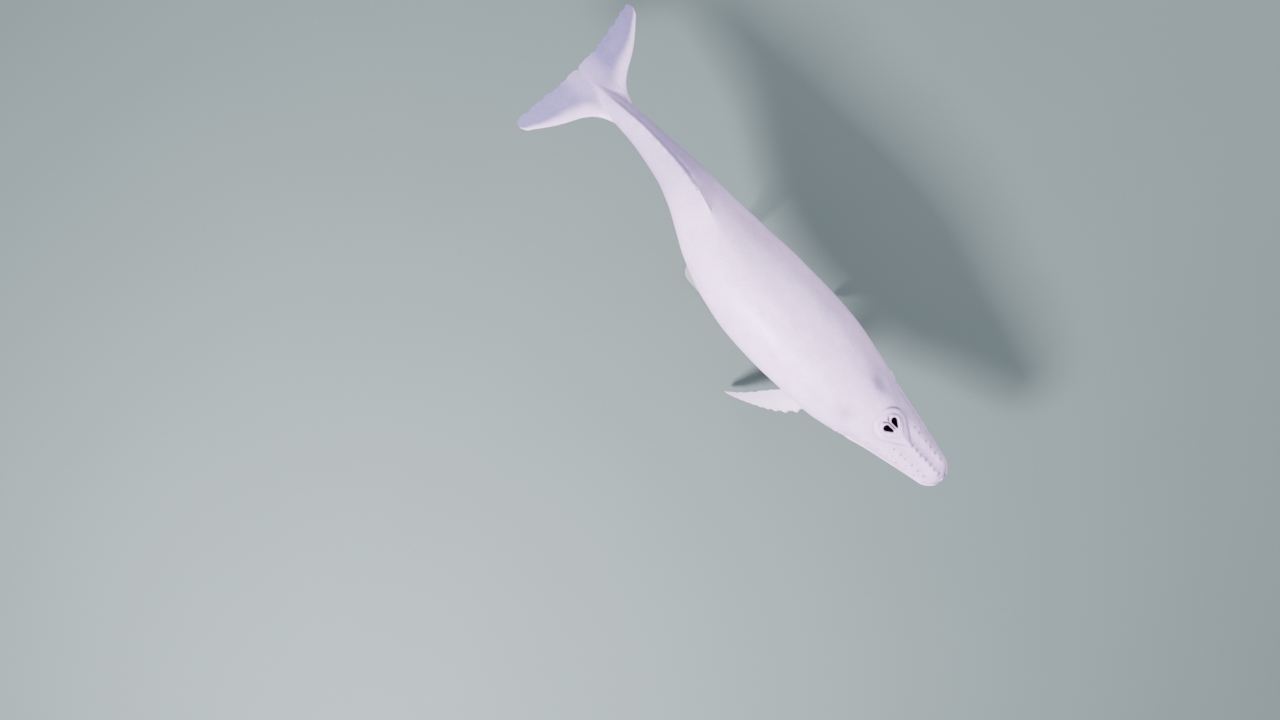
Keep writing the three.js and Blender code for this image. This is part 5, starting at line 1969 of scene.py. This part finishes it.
@dataclass(frozen=True)
class EyeFinish:
    """A dark wet eye: a brown iris round a long pupil, in a brownish white."""

    white: Colour = (0.34, 0.27, 0.25)
    iris: Colour = (0.085, 0.040, 0.022)
    rim: Colour = (0.020, 0.011, 0.009)
    pupil: Colour = (0.0015, 0.0015, 0.002)

    def material(self) -> bpy.types.Material:
        """Build the eye material.

        Returns:
            The material.
        """
        made, tree, shader = new_material("whale_eye")
        long_way, upright = tree.attribute("eye_length"), tree.attribute("eye_height")
        ring = tree.sum("SQRT", tree.plus(tree.sum("POWER", long_way, 2.0), tree.sum("POWER", upright, 2.0)))
        front = tree.span(tree.attribute("eye_front"), 0.0, 0.1)
        angle = tree.sum("ARCTAN2", upright, long_way)
        streak = tree.node("ShaderNodeCombineXYZ")
        tree.feed(streak, {"X": tree.times(angle, 9.0), "Y": tree.times(ring, 2.0)})
        fibres = tree.noise(streak.outputs[0], 2.0, 3.0, 0.6)
        iris = tree.mix(tree.span(fibres, 0.35, 0.7), self.rim, self.iris)
        iris = tree.mix(tree.span(ring, 0.40, 0.56), iris, self.rim)
        veins = tree.noise(tree.place(), 260.0, 4.0, 0.6)
        white = tree.mix(tree.span(veins, 0.45, 0.7), self.white, self.rim)
        colour = tree.mix(tree.span(ring, 0.55, 0.64), iris, white)
        tall = tree.times(upright, 2.1)
        slot = tree.sum("SQRT", tree.plus(tree.sum("POWER", long_way, 2.0), tree.sum("POWER", tall, 2.0)))
        colour = tree.mix(tree.span(slot, 0.27, 0.33), self.pupil, colour)
        colour = tree.mix(front, self.rim, colour)
        tree.feed(shader, {"Base Color": colour, "Roughness": tree.span(ring, 0.5, 0.9, 0.06, 0.22),
                           "Coat Weight": 1.0, "Coat Roughness": 0.03})
        bump_into(tree, shader, veins, 0.1, 0.0005)
        return made


@dataclass(frozen=True)
class SteelFinish:
    """Steel brushed round the rod, with a little dust and small scuffs."""

    bright: Colour = (0.47, 0.48, 0.49)
    dull: Colour = (0.30, 0.31, 0.32)
    dust: Colour = (0.42, 0.41, 0.40)
    name: str = "brushed_steel"

    def material(self, shared: SharedEffects) -> bpy.types.Material:
        """Build the steel material.

        Args:
            shared: the effects that other finishes use too.

        Returns:
            The material.
        """
        made, tree, shader = new_material(self.name)
        place = tree.place()
        wear = tree.group(shared.wear, place=place, dust=0.35, scuffs=0.35)
        rings = tree.noise(tree.stretched(place, (2.0, 2.0, 620.0)), 1.0, 3.0, 0.7)
        blotch = tree.noise(place, 6.0, 4.0, 0.6)
        colour = tree.mix(tree.span(rings, 0.3, 0.7), self.dull, self.bright)
        colour = tree.mix(tree.times(blotch, 0.25), colour, self.dull)
        colour = tree.mix(wear.outputs["Film"], colour, self.dust)
        dusty = tree.times(wear.outputs["Film"], 0.4)
        roughness = tree.plus(tree.span(rings, 0.2, 0.8, 0.24, 0.40), dusty)
        tree.feed(shader, {"Base Color": colour, "Roughness": roughness, "Metallic": 1.0})
        height = tree.plus(rings, tree.times(wear.outputs["Marks"], -1.0))
        bump_into(tree, shader, height, 0.25, 0.0004)
        return made


@dataclass(frozen=True)
class PaintFinish:
    """Matt paint or rubber with a fine texture, dust on top and a few scuffs."""

    name: str
    colour: Colour
    worn: Colour
    dust: Colour = (0.30, 0.29, 0.28)
    roughness: float = 0.55
    size: float = 900.0

    def material(self, shared: SharedEffects) -> bpy.types.Material:
        """Build the paint material.

        Args:
            shared: the effects that other finishes use too.

        Returns:
            The material.
        """
        made, tree, shader = new_material(self.name)
        place = tree.place()
        grain = tree.group(shared.grain, place=place, size=self.size, patch_size=2.5)
        wear = tree.group(shared.wear, place=place, dust=0.30, scuffs=0.5)
        colour = tree.mix(tree.times(grain.outputs["Patches"], 0.35), self.colour, self.worn)
        colour = tree.mix(tree.times(wear.outputs["Marks"], 0.5), colour, self.worn)
        colour = tree.mix(tree.times(wear.outputs["Film"], 0.6), colour, self.dust)
        low, high = self.roughness - 0.08, self.roughness + 0.10
        roughness = tree.span(grain.outputs["Patches"], 0.3, 0.7, low, high)
        tree.feed(shader, {"Base Color": colour, "Roughness": roughness})
        bump_into(tree, shader, grain.outputs["Height"], 0.35, 0.0006)
        return made


def dress(piece: bpy.types.Object, material: bpy.types.Material) -> None:
    """Give a piece its material and its ride on the model's one body.

    Args:
        piece: the object.
        material: its material.
    """
    piece.data.materials.clear()
    piece.data.materials.append(material)
    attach(piece, "root")
    LOG.info("%s: %d faces", piece.name, len(piece.data.polygons))


@dataclass(frozen=True)
class Lamp:
    """One soft square light that faces the whale: its place, the length of its sides, its watts and its colour."""

    name: str
    place: tuple[float, float, float]
    size: float
    power: float
    colour: Colour

    def hang(self, target: tuple[float, float, float]) -> None:
        """Hang the light so that it faces a point.

        Args:
            target: the point.
        """
        deselect_all()
        bpy.ops.object.light_add(type="AREA", location=self.place)
        lamp = bpy.context.object
        lamp.name = self.name
        lamp.data.size, lamp.data.energy, lamp.data.color = self.size, self.power, self.colour
        aim = Vector(target) - Vector(self.place)
        lamp.rotation_euler = aim.to_track_quat("-Z", "Y").to_euler()


@dataclass
class Studio:
    """The pale floor, the soft lights and the camera."""

    camera_place: tuple[float, float, float] = (-0.553, -1.188, 12.15)
    camera_right: tuple[float, float, float] = (0.6617, 0.7498, 0.0)
    camera_up: tuple[float, float, float] = (-0.7498, 0.6617, 0.0)
    lens: float = 35.0
    sensor: float = 36.0
    floor_size: float = 60.0
    floor_colour: Colour = (0.130, 0.172, 0.162)
    floor_roughness: float = 0.85
    sky: Colour = (0.86, 0.855, 0.97)
    lit_point: tuple[float, float, float] = (0.0, 0.0, 1.2)
    lamps: tuple[Lamp, ...] = (
        Lamp("key", (0.4, -7.5, 7.6), 2.2, 3650.0, (0.975, 0.925, 1.0)),
        Lamp("fill", (1.0, 8.5, 6.5), 6.0, 560.0, (0.90, 0.92, 1.0)),
        Lamp("rear", (-8.5, 1.5, 6.0), 4.0, 220.0, (1.0, 0.97, 1.0)),
    )

    def build(self) -> None:
        """Set up the floor, the lights, the surroundings and the camera."""
        self.floor()
        for lamp in self.lamps:
            lamp.hang(self.lit_point)
        world = bpy.data.worlds.new("studio")
        world.use_nodes = True
        world.node_tree.nodes["Background"].inputs["Color"].default_value = (*self.sky, 1.0)
        world.node_tree.nodes["Background"].inputs["Strength"].default_value = 1.0
        bpy.context.scene.world = world
        self.camera()

    def floor(self) -> None:
        """Lay the pale floor."""
        deselect_all()
        bpy.ops.mesh.primitive_plane_add(size=self.floor_size)
        floor = bpy.context.object
        floor.name = "floor"
        made, tree, shader = new_material("floor")
        cloudy = tree.noise(tree.place(), 0.8, 4.0, 0.5)
        darker = tuple(0.94 * channel for channel in self.floor_colour)
        tree.feed(shader, {"Base Color": tree.mix(cloudy, darker, self.floor_colour),
                           "Roughness": self.floor_roughness})
        floor.data.materials.append(made)

    def camera(self) -> None:
        """Place the camera over the whale, looking straight down."""
        deselect_all()
        bpy.ops.object.camera_add(location=self.camera_place)
        camera = bpy.context.object
        camera.data.lens, camera.data.sensor_width = self.lens, self.sensor
        camera.data.clip_end = 200.0
        axes = Matrix((self.camera_right, self.camera_up, (0.0, 0.0, 1.0))).transposed()
        camera.rotation_euler = axes.to_euler()
        bpy.context.scene.camera = camera


def main() -> None:
    """Build the stage, the whale and its stand, and dress them."""
    logging.basicConfig(level=logging.INFO, format="%(message)s")
    Studio().build()
    shared = SharedEffects()
    whale = Whale()
    skin = whale.build()
    dress(skin, SkinFinish().material(shared))
    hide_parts(*whale.nodes)
    eye_finish = EyeFinish().material()
    for side in Side:
        ball = Eyes().build(whale.form, side)
        dress(ball, eye_finish)
        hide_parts(f"eye_{side.name.lower()}")
    plate_finish = PaintFinish("base_paint", (0.30, 0.31, 0.325), (0.36, 0.37, 0.38),
                               dust=(0.37, 0.365, 0.355)).material(shared)
    pad_finish = PaintFinish("pad_rubber", (0.016, 0.016, 0.017), (0.04, 0.04, 0.04),
                             roughness=0.7, size=500.0).material(shared)
    steel = SteelFinish().material(shared)
    base = BasePlate()
    plate = base.build()
    dress(plate, plate_finish)
    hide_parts("stand_base")
    for rod in (Rod("front", 0.290, "stand_rod_front"), Rod("rear", 0.575, "stand_rod_rear")):
        post, pad, screws = rod.build(whale.form, base.thickness, skin)
        dress(post, steel)
        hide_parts(rod.node)
        dress(pad, pad_finish)
        dress(screws, steel)


if __name__ == "__main__":
    main()
